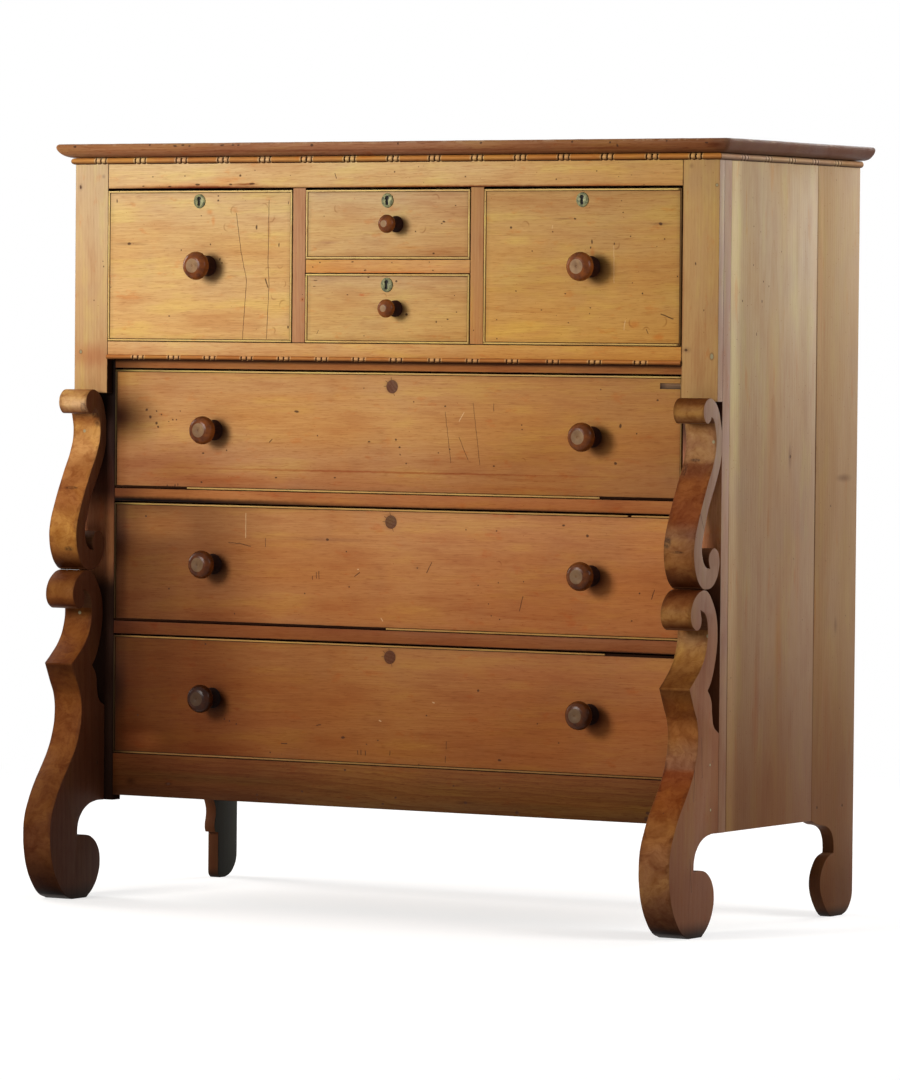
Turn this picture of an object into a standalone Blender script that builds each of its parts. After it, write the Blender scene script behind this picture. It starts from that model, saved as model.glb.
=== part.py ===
# Scroll-front chest of drawers, in metres, Z up.
# X runs along the front, -Y is the front, the floor is Z = 0.
# The origin is on the floor, in the middle of the width and of the whole depth.

import math

import bmesh
import bpy
from mathutils import Matrix, Vector

# Case
CASE_WIDTH = 1.170
CASE_DEPTH = 0.440
SIDE_THICKNESS = 0.020
REAR_BOARD_WIDTH = 0.140
POST_WIDTH = 0.068
POST_THICKNESS = 0.0225
BACK_THICKNESS = 0.012
CASE_BOTTOM = 0.1535

# Applied face frame of the upper section
FRAME_THICKNESS = 0.0156
STILE_WIDTH = 0.063
STILE_DROP = 0.040
DIVIDER_WIDTH = 0.0238
LOWER_RAIL_HEIGHT = 0.0287
SMALL_RAIL_HEIGHT = 0.0215
SMALL_RAIL_DEPTH = 0.040
FRIEZE_HEIGHT = 0.0386
FRIEZE_DEPTH = 0.0356

# Drawer openings
LONG_OPENING_HEIGHT = 0.191
SMALL_FRONT_HEIGHT = 0.1067
SMALL_OPENING_WIDTH = 0.2998

# Rails and dust boards of the long drawers
BASE_RAIL_BOTTOM = 0.162
BASE_RAIL_HEIGHT = 0.067
LONG_RAIL_HEIGHT = 0.0205
TOP_RAIL_FACE = 0.0138
RAIL_DEPTH = 0.040
DUST_BOARD_THICKNESS = 0.012

# Drawers
FRONT_THICKNESS = 0.020
BEAD_WIDTH = 0.0026
BEAD_HEIGHT = 0.0014
DRAWER_SIDE_GAP = 0.0012
DRAWER_BOTTOM_GAP = 0.001
LONG_TOP_GAP = 0.0027
SMALL_TOP_GAP = 0.0012
ROW_TOP_GAP = 0.0037
BOX_WALL = 0.011
BOX_FLOOR = 0.007
BOX_DROP = 0.006
BOX_BACK_SPACE = 0.013

# Top board
TOP_THICKNESS = 0.0215
TOP_SIDE_OVERHANG = 0.026
TOP_FRONT_OVERHANG = 0.022
TOP_UNDERCUT = 0.019

# Half-round trim: the large one under the top, the small one on the lower rail
TOP_TRIM_RADIUS = 0.00525
MID_TRIM_RADIUS = 0.0038
BEAD_PITCH = 0.0083
MID_BEAD_PITCH = 0.0080
FRONT_GROUPS = 15
FRONT_GROUP_START = 0.054
FRONT_GROUP_END = 0.0325
SIDE_GROUPS = 5
SIDE_GROUP_START = 0.054
SIDE_GROUP_END = 0.083
MID_GROUPS = 14
MID_GROUP_START = 0.063
MID_GROUP_END = 0.068
GROOVE_DEPTH_SHARE = 0.38
TRIM_STEPS = 8

# Scroll pieces
SCROLL_WIDTH = 0.0525
UPPER_SCROLL_REACH = 0.0837
FOOT_REACH = 0.1506
SCROLL_TOP_RISE = 0.0055
SCROLL_MEET_RISE = 0.0809
SCROLL_FACETS = 3

# Knobs and keyhole plates
KNOB_DRIFT = 0.016
KNOB_INSET = 0.173
KNOB_STEPS = 16
LARGE_KNOB_DIAMETER = 0.0446
LARGE_KNOB_PROJECTION = 0.046
SMALL_KNOB_DIAMETER = 0.0286
SMALL_KNOB_PROJECTION = 0.038
PLATE_WIDTH = 0.024
PLATE_HEIGHT = 0.0255
PLATE_THICKNESS = 0.0026
PLATE_DROP = 0.0180
KEYHOLE_RADIUS = 0.0019
KEYHOLE_SLOT = 0.0022
KEYHOLE_LENGTH = 0.0105
PLATE_STEPS = 24
KEYHOLE_STEPS = 12

# Space left between pieces that touch
GAP = 0.0003

# Points nearer than this are one point; edges sharper than this stay sharp
WELD_DISTANCE = 0.00001
SHARP_ANGLE = math.radians(40)

# Outlines drawn in millimetres and fitted to the sizes above when they are used.
# Scroll pieces: reach forward of the post, height above the lower end. True marks
# a sharp corner; the other points lie on a smooth curve.
UPPER_SCROLL = [
    (21.7, 281.3, False),
    (38.5, 287.1, False),
    (53.0, 280.6, False),
    (58.5, 268.6, False),
    (54.5, 254.6, False),
    (44.8, 248.6, False),
    (36.0, 253.1, False),
    (33.1, 258.4, True),
    (27.3, 254.9, False),
    (20.8, 241.1, False),
    (17.9, 215.8, False),
    (25.5, 189.6, False),
    (45.1, 154.3, False),
    (70.1, 104.4, False),
    (81.5, 74.0, False),
    (83.7, 52.0, False),
    (76.0, 23.0, False),
    (60.9, 6.0, False),
    (44.1, 0.0, False),
    (27.5, 2.6, False),
    (13.5, 13.5, False),
    (5.2, 29.4, False),
    (3.9, 43.8, False),
    (8.0, 55.5, False),
    (18.0, 61.5, False),
    (30.0, 58.5, False),
    (37.6, 46.0, False),
    (33.5, 31.5, True),
    (46.5, 34.5, False),
    (56.5, 49.0, False),
    (58.3, 62.9, False),
    (50.5, 90.5, False),
    (39.6, 119.8, False),
    (19.0, 156.2, False),
    (5.2, 184.0, False),
    (0.0, 201.6, True),
    (0.0, 237.6, True),
    (4.3, 252.5, False),
    (10.4, 268.6, False),
]
LOWER_SCROLL = [
    (25.7, 506.4, False),
    (37.0, 516.1, False),
    (52.4, 521.4, False),
    (73.0, 514.5, False),
    (86.5, 501.6, False),
    (91.6, 484.4, False),
    (88.6, 472.3, False),
    (80.1, 464.0, False),
    (70.4, 461.3, False),
    (61.5, 465.4, False),
    (57.7, 475.3, False),
    (61.0, 491.6, True),
    (46.0, 484.2, False),
    (38.3, 461.4, False),
    (43.4, 429.2, False),
    (56.0, 407.4, False),
    (76.0, 388.4, False),
    (93.4, 374.5, True),
    (79.7, 346.0, False),
    (68.0, 321.4, False),
    (66.1, 285.8, False),
    (72.0, 262.2, False),
    (82.4, 238.9, False),
    (101.4, 211.3, False),
    (120.5, 186.3, False),
    (137.0, 158.7, False),
    (147.5, 133.3, False),
    (150.6, 104.0, False),
    (148.0, 76.3, False),
    (141.1, 52.0, False),
    (126.9, 27.2, False),
    (107.0, 7.5, False),
    (87.1, 0.0, True),
    (47.6, 0.0, True),
    (28.1, 14.9, False),
    (13.6, 37.9, False),
    (10.1, 58.0, False),
    (15.0, 78.0, False),
    (32.0, 95.0, False),
    (54.7, 100.8, False),
    (74.5, 100.3, True),
    (72.0, 119.5, False),
    (64.5, 133.0, False),
    (48.3, 145.9, False),
    (24.0, 152.9, False),
    (0.0, 153.5, True),
    (0.0, 304.5, True),
    (16.0, 315.4, False),
    (21.4, 333.5, False),
    (24.8, 355.0, False),
    (36.0, 370.4, True),
    (28.5, 379.0, False),
    (21.8, 390.8, False),
    (13.9, 412.0, False),
    (8.4, 435.4, False),
    (7.3, 455.4, False),
    (9.7, 476.3, False),
    (15.6, 491.3, False),
]

# Rear feet: distance from the back edge, height above the floor.
REAR_FOOT_BACK = [
    (0.0, 48.0, True),
    (1.5, 28.0, False),
    (8.5, 15.0, False),
    (19.0, 5.5, False),
    (35.0, 0.0, True),
]
REAR_FOOT_LOBE = [
    (70.4, 0.0, True),
    (79.5, 5.0, False),
    (91.6, 16.7, False),
    (101.6, 30.3, False),
    (107.4, 42.4, False),
    (109.0, 56.0, False),
    (106.0, 69.0, False),
    (98.0, 81.5, False),
    (87.0, 92.0, False),
    (65.0, 99.3, True),
]
REAR_FOOT_WORN = [
    (50.0, 0.0, True),
    (55.5, 5.0, False),
    (57.0, 12.0, True),
    (57.0, 75.0, True),
    (66.0, 76.0, True),
    (68.5, 84.0, False),
]
REAR_FOOT_COVE = [
    (64.6, 108.0, False),
    (66.6, 120.0, False),
    (72.5, 131.0, False),
    (84.0, 139.5, False),
    (100.0, 144.0, False),
    (118.0, 146.5, False),
    (140.0, 153.5, True),
]

# Turned profiles, drawn and fitted in the same way, from the tip to the base:
# radius, height above the drawer front.
LARGE_KNOB = [
    (0.0, 45.6),
    (11.4, 45.6),
    (12.2, 46.0),
    (16.8, 45.2),
    (20.6, 42.0),
    (22.3, 37.4),
    (21.4, 32.4),
    (17.8, 28.2),
    (13.2, 25.6),
    (14.4, 22.6),
    (14.2, 19.4),
    (11.6, 17.4),
    (11.8, 11.0),
    (15.2, 4.6),
    (16.4, 0.0),
    (0.0, 0.0),
]
SMALL_KNOB = [
    (0.0, 38.0),
    (5.2, 38.0),
    (9.6, 36.6),
    (12.8, 33.8),
    (14.3, 29.8),
    (13.4, 25.4),
    (10.4, 21.8),
    (7.4, 19.4),
    (6.6, 13.6),
    (8.0, 8.4),
    (12.2, 4.4),
    (12.8, 0.0),
    (0.0, 0.0),
]

# Rounded edge of the top board: share of the overhang left, share of the height
NOSE_RINGS = [
    (0.000, 0.00),
    (0.300, 0.06),
    (0.560, 0.17),
    (0.770, 0.34),
    (0.910, 0.52),
    (0.985, 0.68),
    (1.000, 0.78),
    (0.950, 0.90),
    (0.800, 1.00),
]

# Levels and places that follow from the sizes above
HALF_WIDTH = CASE_WIDTH / 2
POST_FRONT = (FOOT_REACH + GAP - CASE_DEPTH) / 2
FRAME_FRONT = POST_FRONT - FRAME_THICKNESS
CASE_BACK = POST_FRONT + CASE_DEPTH
BACK_FRONT = CASE_BACK - BACK_THICKNESS
SIDE_SEAM = CASE_BACK - REAR_BOARD_WIDTH
SIDE_INNER = HALF_WIDTH - SIDE_THICKNESS
POST_INNER = HALF_WIDTH - POST_WIDTH
STILE_INNER = HALF_WIDTH - STILE_WIDTH
DIVIDER_INNER = SMALL_OPENING_WIDTH / 2
DIVIDER_OUTER = DIVIDER_INNER + DIVIDER_WIDTH

OPENING_3_LOW = BASE_RAIL_BOTTOM + BASE_RAIL_HEIGHT
OPENING_3_HIGH = OPENING_3_LOW + LONG_OPENING_HEIGHT
OPENING_2_LOW = OPENING_3_HIGH + LONG_RAIL_HEIGHT
OPENING_2_HIGH = OPENING_2_LOW + LONG_OPENING_HEIGHT
OPENING_1_LOW = OPENING_2_HIGH + LONG_RAIL_HEIGHT
OPENING_1_HIGH = OPENING_1_LOW + LONG_OPENING_HEIGHT
FRAME_BOTTOM = OPENING_1_HIGH + TOP_RAIL_FACE
UPPER_LOW = FRAME_BOTTOM + LOWER_RAIL_HEIGHT
SMALL_RAIL_LOW = UPPER_LOW + DRAWER_BOTTOM_GAP + SMALL_FRONT_HEIGHT + SMALL_TOP_GAP
SMALL_RAIL_HIGH = SMALL_RAIL_LOW + SMALL_RAIL_HEIGHT
UPPER_HIGH = SMALL_RAIL_HIGH + DRAWER_BOTTOM_GAP + SMALL_FRONT_HEIGHT + ROW_TOP_GAP
TRIM_BOTTOM = UPPER_HIGH + FRIEZE_HEIGHT
CASE_TOP = TRIM_BOTTOM + 2 * TOP_TRIM_RADIUS + GAP
STILE_BOTTOM = OPENING_1_HIGH - STILE_DROP
SCROLL_MEET = OPENING_2_LOW + SCROLL_MEET_RISE


def clear_scene():
    for item in list(bpy.data.objects):
        bpy.data.objects.remove(item, do_unlink=True)


def make_collection(name):
    collection = bpy.data.collections.new(name)
    bpy.context.scene.collection.children.link(collection)
    return collection


def make_material(name, colour, roughness, metallic=0.0):
    material = bpy.data.materials.new(name)
    material.use_nodes = True
    shader = material.node_tree.nodes["Principled BSDF"]
    shader.inputs["Base Color"].default_value = (*colour, 1.0)
    shader.inputs["Roughness"].default_value = roughness
    shader.inputs["Metallic"].default_value = metallic
    material.diffuse_color = (*colour, 1.0)
    return material


def place(part, name, material, collection, parent=None):
    part.name = name
    part.data.materials.clear()
    part.data.materials.append(material)
    for holder in list(part.users_collection):
        holder.objects.unlink(part)
    collection.objects.link(part)
    if parent is not None:
        part.parent = parent
        part.matrix_parent_inverse = Matrix.Translation(-parent.location)
    return part


def box(name, low, high, material, collection, parent=None):
    low = Vector(low)
    high = Vector(high)
    bpy.ops.mesh.primitive_cube_add(size=1.0)
    part = bpy.context.object
    part.data.transform(Matrix.Diagonal((*(high - low), 1.0)))
    part.location = (low + high) / 2
    return place(part, name, material, collection, parent)


def flat_curve(name, points, thickness):
    """A filled outline from (u, v, sharp) points, extruded to the thickness."""
    curve = bpy.data.curves.new(name, "CURVE")
    curve.dimensions = "2D"
    curve.fill_mode = "BOTH"
    curve.extrude = thickness / 2
    curve.resolution_u = SCROLL_FACETS
    spline = curve.splines.new("BEZIER")
    spline.bezier_points.add(len(points) - 1)
    for knot, (u, v, sharp) in zip(spline.bezier_points, points):
        knot.co = (u, v, 0.0)
        handle = "VECTOR" if sharp else "AUTO"
        knot.handle_left_type = handle
        knot.handle_right_type = handle
    spline.use_cyclic_u = True
    return bpy.data.objects.new(name, curve)


def side_plate(name, points, low_x, high_x, material, collection):
    """A plate that is flat against the YZ plane, from (y, z, sharp) points."""
    part = flat_curve(name, points, high_x - low_x)
    bpy.context.scene.collection.objects.link(part)
    turn = Matrix(((0, 0, 1), (1, 0, 0), (0, 1, 0))).to_4x4()
    part.matrix_world = Matrix.Translation(((low_x + high_x) / 2, 0, 0)) @ turn
    weld = part.modifiers.new("join the caps", "WELD")
    weld.merge_threshold = WELD_DISTANCE
    return place(part, name, material, collection)


def front_plate(name, points, low_y, high_y, material, collection):
    """A plate that is flat against the XZ plane, from (x, z) corners."""
    corners = [(x, z, True) for x, z in points]
    part = flat_curve(name, corners, high_y - low_y)
    bpy.context.scene.collection.objects.link(part)
    turn = Matrix.Rotation(math.radians(90), 4, "X")
    part.matrix_world = Matrix.Translation((0, (low_y + high_y) / 2, 0)) @ turn
    weld = part.modifiers.new("join the caps", "WELD")
    weld.merge_threshold = WELD_DISTANCE
    return place(part, name, material, collection)


def fit_outline(drawn, reach, levels):
    """Drawn (reach, height, sharp) points in metres: the furthest one gets the
    reach given, and heights run straight between (drawn, real) levels."""
    scale = reach / max(point[0] for point in drawn)
    points = []
    for drawn_reach, drawn_height, sharp in drawn:
        for (low, real_low), (high, real_high) in zip(levels, levels[1:]):
            if drawn_height <= high:
                break
        height = real_low + (drawn_height - low) * (real_high - real_low) / (high - low)
        points.append((drawn_reach * scale, height, sharp))
    return points


def fit_profile(drawn, diameter, height):
    """Drawn (radius, height) points in metres, fitted to a diameter and a height."""
    across = diameter / 2 / max(point[0] for point in drawn)
    along = height / max(point[1] for point in drawn)
    return [(radius * across, level * along) for radius, level in drawn]


def turned_mesh(name, profile, steps):
    """A closed turned mesh about Z, from (radius, height) points, top first."""
    mesh = bpy.data.meshes.new(name)
    points = [(radius, 0.0, height) for radius, height in profile]
    edges = [(i, i + 1) for i in range(len(points) - 1)]
    mesh.from_pydata(points, edges, [])
    blank = bpy.data.objects.new(name, mesh)
    bpy.context.scene.collection.objects.link(blank)
    screw = blank.modifiers.new("turn", "SCREW")
    screw.axis = "Z"
    screw.angle = math.tau
    screw.steps = steps
    screw.render_steps = steps
    screw.use_merge_vertices = True
    screw.merge_threshold = WELD_DISTANCE
    turned = bake(blank)
    turned.shade_smooth()
    turned.set_sharp_from_angle(angle=SHARP_ANGLE)
    return turned


def bake(source):
    """The evaluated mesh of an object, which is then removed."""
    graph = bpy.context.evaluated_depsgraph_get()
    mesh = bpy.data.meshes.new_from_object(source.evaluated_get(graph))
    bpy.data.objects.remove(source, do_unlink=True)
    return mesh


def keep_side(mesh, point, normal):
    """Cuts a mesh by a plane, keeps what is behind its normal and closes it."""
    work = bmesh.new()
    work.from_mesh(mesh)
    geometry = work.verts[:] + work.edges[:] + work.faces[:]
    cut = bmesh.ops.bisect_plane(
        work,
        geom=geometry,
        dist=WELD_DISTANCE / 10,
        plane_co=point,
        plane_no=normal,
        clear_outer=True,
    )
    edges = [item for item in cut["geom_cut"] if isinstance(item, bmesh.types.BMEdge)]
    bmesh.ops.edgeloop_fill(work, edges=edges)
    bmesh.ops.recalc_face_normals(work, faces=work.faces[:])
    work.to_mesh(mesh)
    work.free()


def bead_profile(length, radius, pitch, groups, group_pitch, start):
    """Radius and height of a bead-and-reel bar, from its far end to its start."""
    groove = radius * (1 - GROOVE_DEPTH_SHARE)
    marks = [
        (-1.22, radius),
        (-1.00, groove),
        (-0.72, radius * 0.96),
        (-0.28, radius * 0.96),
        (0.00, groove),
        (0.28, radius * 0.96),
        (0.72, radius * 0.96),
        (1.00, groove),
        (1.22, radius),
    ]
    points = [(0.0, 0.0), (radius, 0.0)]
    for group in range(groups):
        middle = start + group * group_pitch
        for offset, size in marks:
            points.append((size, middle + offset * pitch))
    points.append((radius, length))
    points.append((0.0, length))
    return points[::-1]


def even_groups(count, first, last):
    """Count, pitch and first place of groups spread evenly along a bar."""
    return count, (last - first) / (count - 1), first


def trim_bar(name, turn, origin, length, radius, pitch, pattern, cuts, material, collection):
    """Half-round trim: local Z is its length, local +X its outward side."""
    groups, group_pitch, start = pattern
    profile = bead_profile(length, radius, pitch, groups, group_pitch, start)
    mesh = turned_mesh(name, profile, TRIM_STEPS)
    keep_side(mesh, (0, 0, 0), (-1, 0, 0))
    mesh.transform(turn)
    part = bpy.data.objects.new(name, mesh)
    bpy.context.scene.collection.objects.link(part)
    part.location = origin
    for point, normal in cuts:
        keep_side(mesh, Vector(point) - Vector(origin), normal)
    return place(part, name, material, collection)


def top_board(material, collection):
    """The board with its rounded nose on the front and both sides."""
    side_in = TOP_SIDE_OVERHANG - TOP_UNDERCUT
    front_in = TOP_FRONT_OVERHANG - TOP_UNDERCUT
    bpy.ops.mesh.primitive_plane_add(size=1.0)
    part = bpy.context.object
    work = bmesh.new()
    work.from_mesh(part.data)
    ring = work.faces[:]
    for level, (share, height) in enumerate(NOSE_RINGS):
        if level > 0:
            grown = bmesh.ops.extrude_face_region(work, geom=ring)
            if level > 1:
                bmesh.ops.delete(work, geom=ring, context="FACES_ONLY")
            ring = [item for item in grown["geom"] if isinstance(item, bmesh.types.BMFace)]
        side = HALF_WIDTH + side_in + share * TOP_UNDERCUT
        front = FRAME_FRONT - front_in - share * TOP_UNDERCUT
        for face in ring:
            for corner in face.verts:
                corner.co.x = math.copysign(side, corner.co.x)
                corner.co.y = front if corner.co.y < 0 else CASE_BACK
                corner.co.z = height * TOP_THICKNESS
    bmesh.ops.recalc_face_normals(work, faces=work.faces[:])
    work.to_mesh(part.data)
    work.free()
    part.location.z = CASE_TOP
    return place(part, "top_board", material, collection)


def make_case(woods, collection):
    frame = woods["frame"]
    inner = woods["inner"]
    for side, label in ((-1, "left"), (1, "right")):
        def span(near, far):
            return sorted((side * near, side * far))

        post = [
            (side * POST_INNER, CASE_BOTTOM),
            (side * HALF_WIDTH, CASE_BOTTOM),
            (side * HALF_WIDTH, CASE_TOP - GAP),
            (side * STILE_INNER, CASE_TOP - GAP),
            (side * STILE_INNER, UPPER_LOW),
            (side * POST_INNER, UPPER_LOW),
        ]
        post_back = POST_FRONT + POST_THICKNESS
        front_plate(f"corner_post_{label}", post, POST_FRONT, post_back, frame, collection)

        low_x, high_x = span(STILE_INNER, HALF_WIDTH)
        box(
            f"upper_stile_{label}",
            (low_x, FRAME_FRONT, STILE_BOTTOM),
            (high_x, POST_FRONT - GAP, CASE_TOP - GAP),
            frame,
            collection,
        )

        low_x, high_x = span(SIDE_INNER, HALF_WIDTH)
        box(
            f"side_board_{label}",
            (low_x, post_back + GAP, CASE_BOTTOM),
            (high_x, SIDE_SEAM - GAP, CASE_TOP - GAP),
            woods["side"],
            collection,
        )
        foot = REAR_FOOT_WORN if label == "left" else REAR_FOOT_LOBE
        drawn = REAR_FOOT_BACK + foot + REAR_FOOT_COVE
        levels = [(0.0, 0.0), (drawn[-1][1], CASE_BOTTOM)]
        outline = fit_outline(drawn, REAR_BOARD_WIDTH, levels)
        points = [(CASE_BACK - reach, height, sharp) for reach, height, sharp in outline]
        points.append((SIDE_SEAM, CASE_TOP - GAP, True))
        points.append((CASE_BACK, CASE_TOP - GAP, True))
        side_plate(f"rear_board_{label}", points, low_x, high_x, woods["side"], collection)

        low_x, high_x = span(DIVIDER_INNER, DIVIDER_OUTER)
        box(
            f"partition_{label}",
            (low_x, FRAME_FRONT, UPPER_LOW + GAP),
            (high_x, BACK_FRONT - GAP, UPPER_HIGH - GAP),
            frame,
            collection,
        )

    reach = STILE_INNER - GAP
    box(
        "frieze_rail",
        (-reach, FRAME_FRONT, UPPER_HIGH),
        (reach, FRAME_FRONT + FRIEZE_DEPTH, CASE_TOP - GAP),
        frame,
        collection,
    )
    box(
        "lower_frame_rail",
        (-reach, FRAME_FRONT, FRAME_BOTTOM),
        (reach, POST_FRONT - GAP, UPPER_LOW),
        frame,
        collection,
    )
    reach = DIVIDER_INNER - GAP
    rail_back = FRAME_FRONT + SMALL_RAIL_DEPTH
    box(
        "small_rail",
        (-reach, FRAME_FRONT, SMALL_RAIL_LOW),
        (reach, rail_back, SMALL_RAIL_HIGH),
        frame,
        collection,
    )
    box(
        "small_dust_board",
        (-reach, rail_back + GAP, SMALL_RAIL_HIGH - DUST_BOARD_THICKNESS),
        (reach, BACK_FRONT - GAP, SMALL_RAIL_HIGH),
        inner,
        collection,
    )
    reach = POST_INNER - GAP
    rail_back = POST_FRONT + RAIL_DEPTH
    rails = {
        "long_rail_1": (OPENING_1_HIGH, UPPER_LOW),
        "long_rail_2": (OPENING_2_HIGH, OPENING_1_LOW),
        "long_rail_3": (OPENING_3_HIGH, OPENING_2_LOW),
        "base_rail": (BASE_RAIL_BOTTOM, OPENING_3_LOW),
    }
    for name, (low_z, high_z) in rails.items():
        low = (-reach, POST_FRONT, low_z)
        box(name, low, (reach, rail_back, high_z), frame, collection)
    boards = {
        "upper_dust_board": UPPER_LOW,
        "long_dust_board_1": OPENING_1_LOW,
        "long_dust_board_2": OPENING_2_LOW,
        "long_dust_board_3": OPENING_3_LOW,
    }
    reach = SIDE_INNER - GAP
    for name, high_z in boards.items():
        low = (-reach, rail_back + GAP, high_z - DUST_BOARD_THICKNESS)
        box(name, low, (reach, BACK_FRONT - GAP, high_z), inner, collection)
    box(
        "back_panel",
        (-reach, BACK_FRONT, CASE_BOTTOM),
        (reach, CASE_BACK, CASE_TOP - GAP),
        inner,
        collection,
    )


def make_trim(material, collection):
    along_x = Matrix(((0, 0, 1), (-1, 0, 0), (0, -1, 0))).to_4x4()
    along_right = Matrix(((1, 0, 0), (0, 0, 1), (0, -1, 0))).to_4x4()
    along_left = Matrix(((-1, 0, 0), (0, 0, 1), (0, 1, 0))).to_4x4()
    radius = TOP_TRIM_RADIUS
    level = TRIM_BOTTOM + radius
    face = FRAME_FRONT - GAP
    side_face = HALF_WIDTH + GAP
    ends = side_face + radius
    mitre = []
    for side in (-1, 1):
        mitre.append(((side * (side_face - GAP), face, level), (side, 1, 0)))
    first = ends - HALF_WIDTH + FRONT_GROUP_START
    last = ends + HALF_WIDTH - FRONT_GROUP_END
    trim_bar(
        "top_trim_front",
        along_x,
        (-ends, face, level),
        2 * ends,
        radius,
        BEAD_PITCH,
        even_groups(FRONT_GROUPS, first, last),
        mitre,
        material,
        collection,
    )
    start = face - radius
    first = POST_FRONT + SIDE_GROUP_START - start
    last = CASE_BACK - SIDE_GROUP_END - start
    pattern = even_groups(SIDE_GROUPS, first, last)
    for side, label, turn in ((-1, "left", along_left), (1, "right", along_right)):
        corner = (side * (side_face + GAP), face, level)
        trim_bar(
            f"top_trim_{label}",
            turn,
            (side * side_face, start, level),
            CASE_BACK - start,
            radius,
            BEAD_PITCH,
            pattern,
            [(corner, (-side, -1, 0))],
            material,
            collection,
        )
    reach = STILE_INNER - GAP
    first = reach - STILE_INNER + MID_GROUP_START
    last = reach + STILE_INNER - MID_GROUP_END
    trim_bar(
        "mid_trim",
        along_x,
        (-reach, face, FRAME_BOTTOM + MID_TRIM_RADIUS),
        2 * reach,
        MID_TRIM_RADIUS,
        MID_BEAD_PITCH,
        even_groups(MID_GROUPS, first, last),
        [],
        material,
        collection,
    )


def make_scrolls(material, collection):
    top = max(height for reach, height, sharp in UPPER_SCROLL)
    levels = [(0.0, SCROLL_MEET + GAP), (top, STILE_BOTTOM + SCROLL_TOP_RISE)]
    outline = fit_outline(UPPER_SCROLL, UPPER_SCROLL_REACH, levels)
    upper = [(POST_FRONT - GAP - reach, height, sharp) for reach, height, sharp in outline]

    top = max(height for reach, height, sharp in LOWER_SCROLL)
    cove = min(height for reach, height, sharp in LOWER_SCROLL if reach == 0.0)
    levels = [(0.0, 0.0), (cove, CASE_BOTTOM), (top, SCROLL_MEET - GAP)]
    outline = fit_outline(LOWER_SCROLL, FOOT_REACH, levels)
    lower = [(POST_FRONT - GAP - reach, height, sharp) for reach, height, sharp in outline]
    for side, label in ((-1, "left"), (1, "right")):
        low_x, high_x = sorted((side * (HALF_WIDTH - SCROLL_WIDTH), side * HALF_WIDTH))
        side_plate(f"upper_scroll_{label}", upper, low_x, high_x, material, collection)
        side_plate(f"lower_scroll_{label}", lower, low_x, high_x, material, collection)


def plate_mesh():
    """An oval domed keyhole plate that faces up, with its keyhole cut through."""
    half = PLATE_WIDTH / 2
    dome = [
        (0.0, PLATE_THICKNESS),
        (half * 0.50, PLATE_THICKNESS * 0.94),
        (half * 0.80, PLATE_THICKNESS * 0.72),
        (half * 0.95, PLATE_THICKNESS * 0.42),
        (half, PLATE_THICKNESS * 0.15),
        (half, 0.0),
        (0.0, 0.0),
    ]
    mesh = turned_mesh("keyhole_plate", dome, PLATE_STEPS)
    mesh.transform(Matrix.Diagonal((1.0, PLATE_HEIGHT / PLATE_WIDTH, 1.0, 1.0)))
    plate = bpy.data.objects.new("keyhole_plate", mesh)
    bpy.context.scene.collection.objects.link(plate)
    depth = 4 * PLATE_THICKNESS
    rise = KEYHOLE_LENGTH / 2 - KEYHOLE_RADIUS
    bpy.ops.mesh.primitive_cylinder_add(
        vertices=KEYHOLE_STEPS, radius=KEYHOLE_RADIUS, depth=depth, location=(0, rise, 0)
    )
    hole = bpy.context.object
    bpy.ops.mesh.primitive_cube_add(size=1.0)
    slot = bpy.context.object
    slot_length = KEYHOLE_LENGTH - KEYHOLE_RADIUS
    slot.data.transform(Matrix.Diagonal((KEYHOLE_SLOT, slot_length, depth, 1.0)))
    slot.location.y = rise - slot_length / 2
    for cutter in (hole, slot):
        cutter.hide_render = True
        cutter.display_type = "WIRE"
        cut = plate.modifiers.new("keyhole", "BOOLEAN")
        cut.operation = "DIFFERENCE"
        cut.object = cutter
    pierced = bake(plate)
    bpy.data.objects.remove(hole, do_unlink=True)
    bpy.data.objects.remove(slot, do_unlink=True)
    return pierced


def drawer_front(name, low, high, material, collection, parent):
    """A front board whose edge carries a narrow raised bead."""
    part = box(name, low, high, material, collection, parent)
    work = bmesh.new()
    work.from_mesh(part.data)
    faces = [face for face in work.faces if face.normal.y < -0.9]
    bmesh.ops.inset_region(work, faces=faces, thickness=BEAD_WIDTH, use_even_offset=True)
    for corner in faces[0].verts:
        corner.co.y += BEAD_HEIGHT
    work.to_mesh(part.data)
    work.free()
    return part


def drawer_box(name, low, high, material, collection, cutters, parent):
    """Sides, back and bottom of a drawer, open at the front and the top."""
    part = box(name, low, high, material, collection, parent)
    inside_low = (low[0] + BOX_WALL, low[1] - BOX_WALL, low[2] + BOX_FLOOR)
    inside_high = (high[0] - BOX_WALL, high[1] - BOX_WALL, high[2] + BOX_WALL)
    cutter = box(f"inside_of_{name}", inside_low, inside_high, material, cutters, parent)
    cutter.hide_render = True
    cutter.display_type = "WIRE"
    cut = part.modifiers.new("inside", "BOOLEAN")
    cut.operation = "DIFFERENCE"
    cut.object = cutter
    return part


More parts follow.
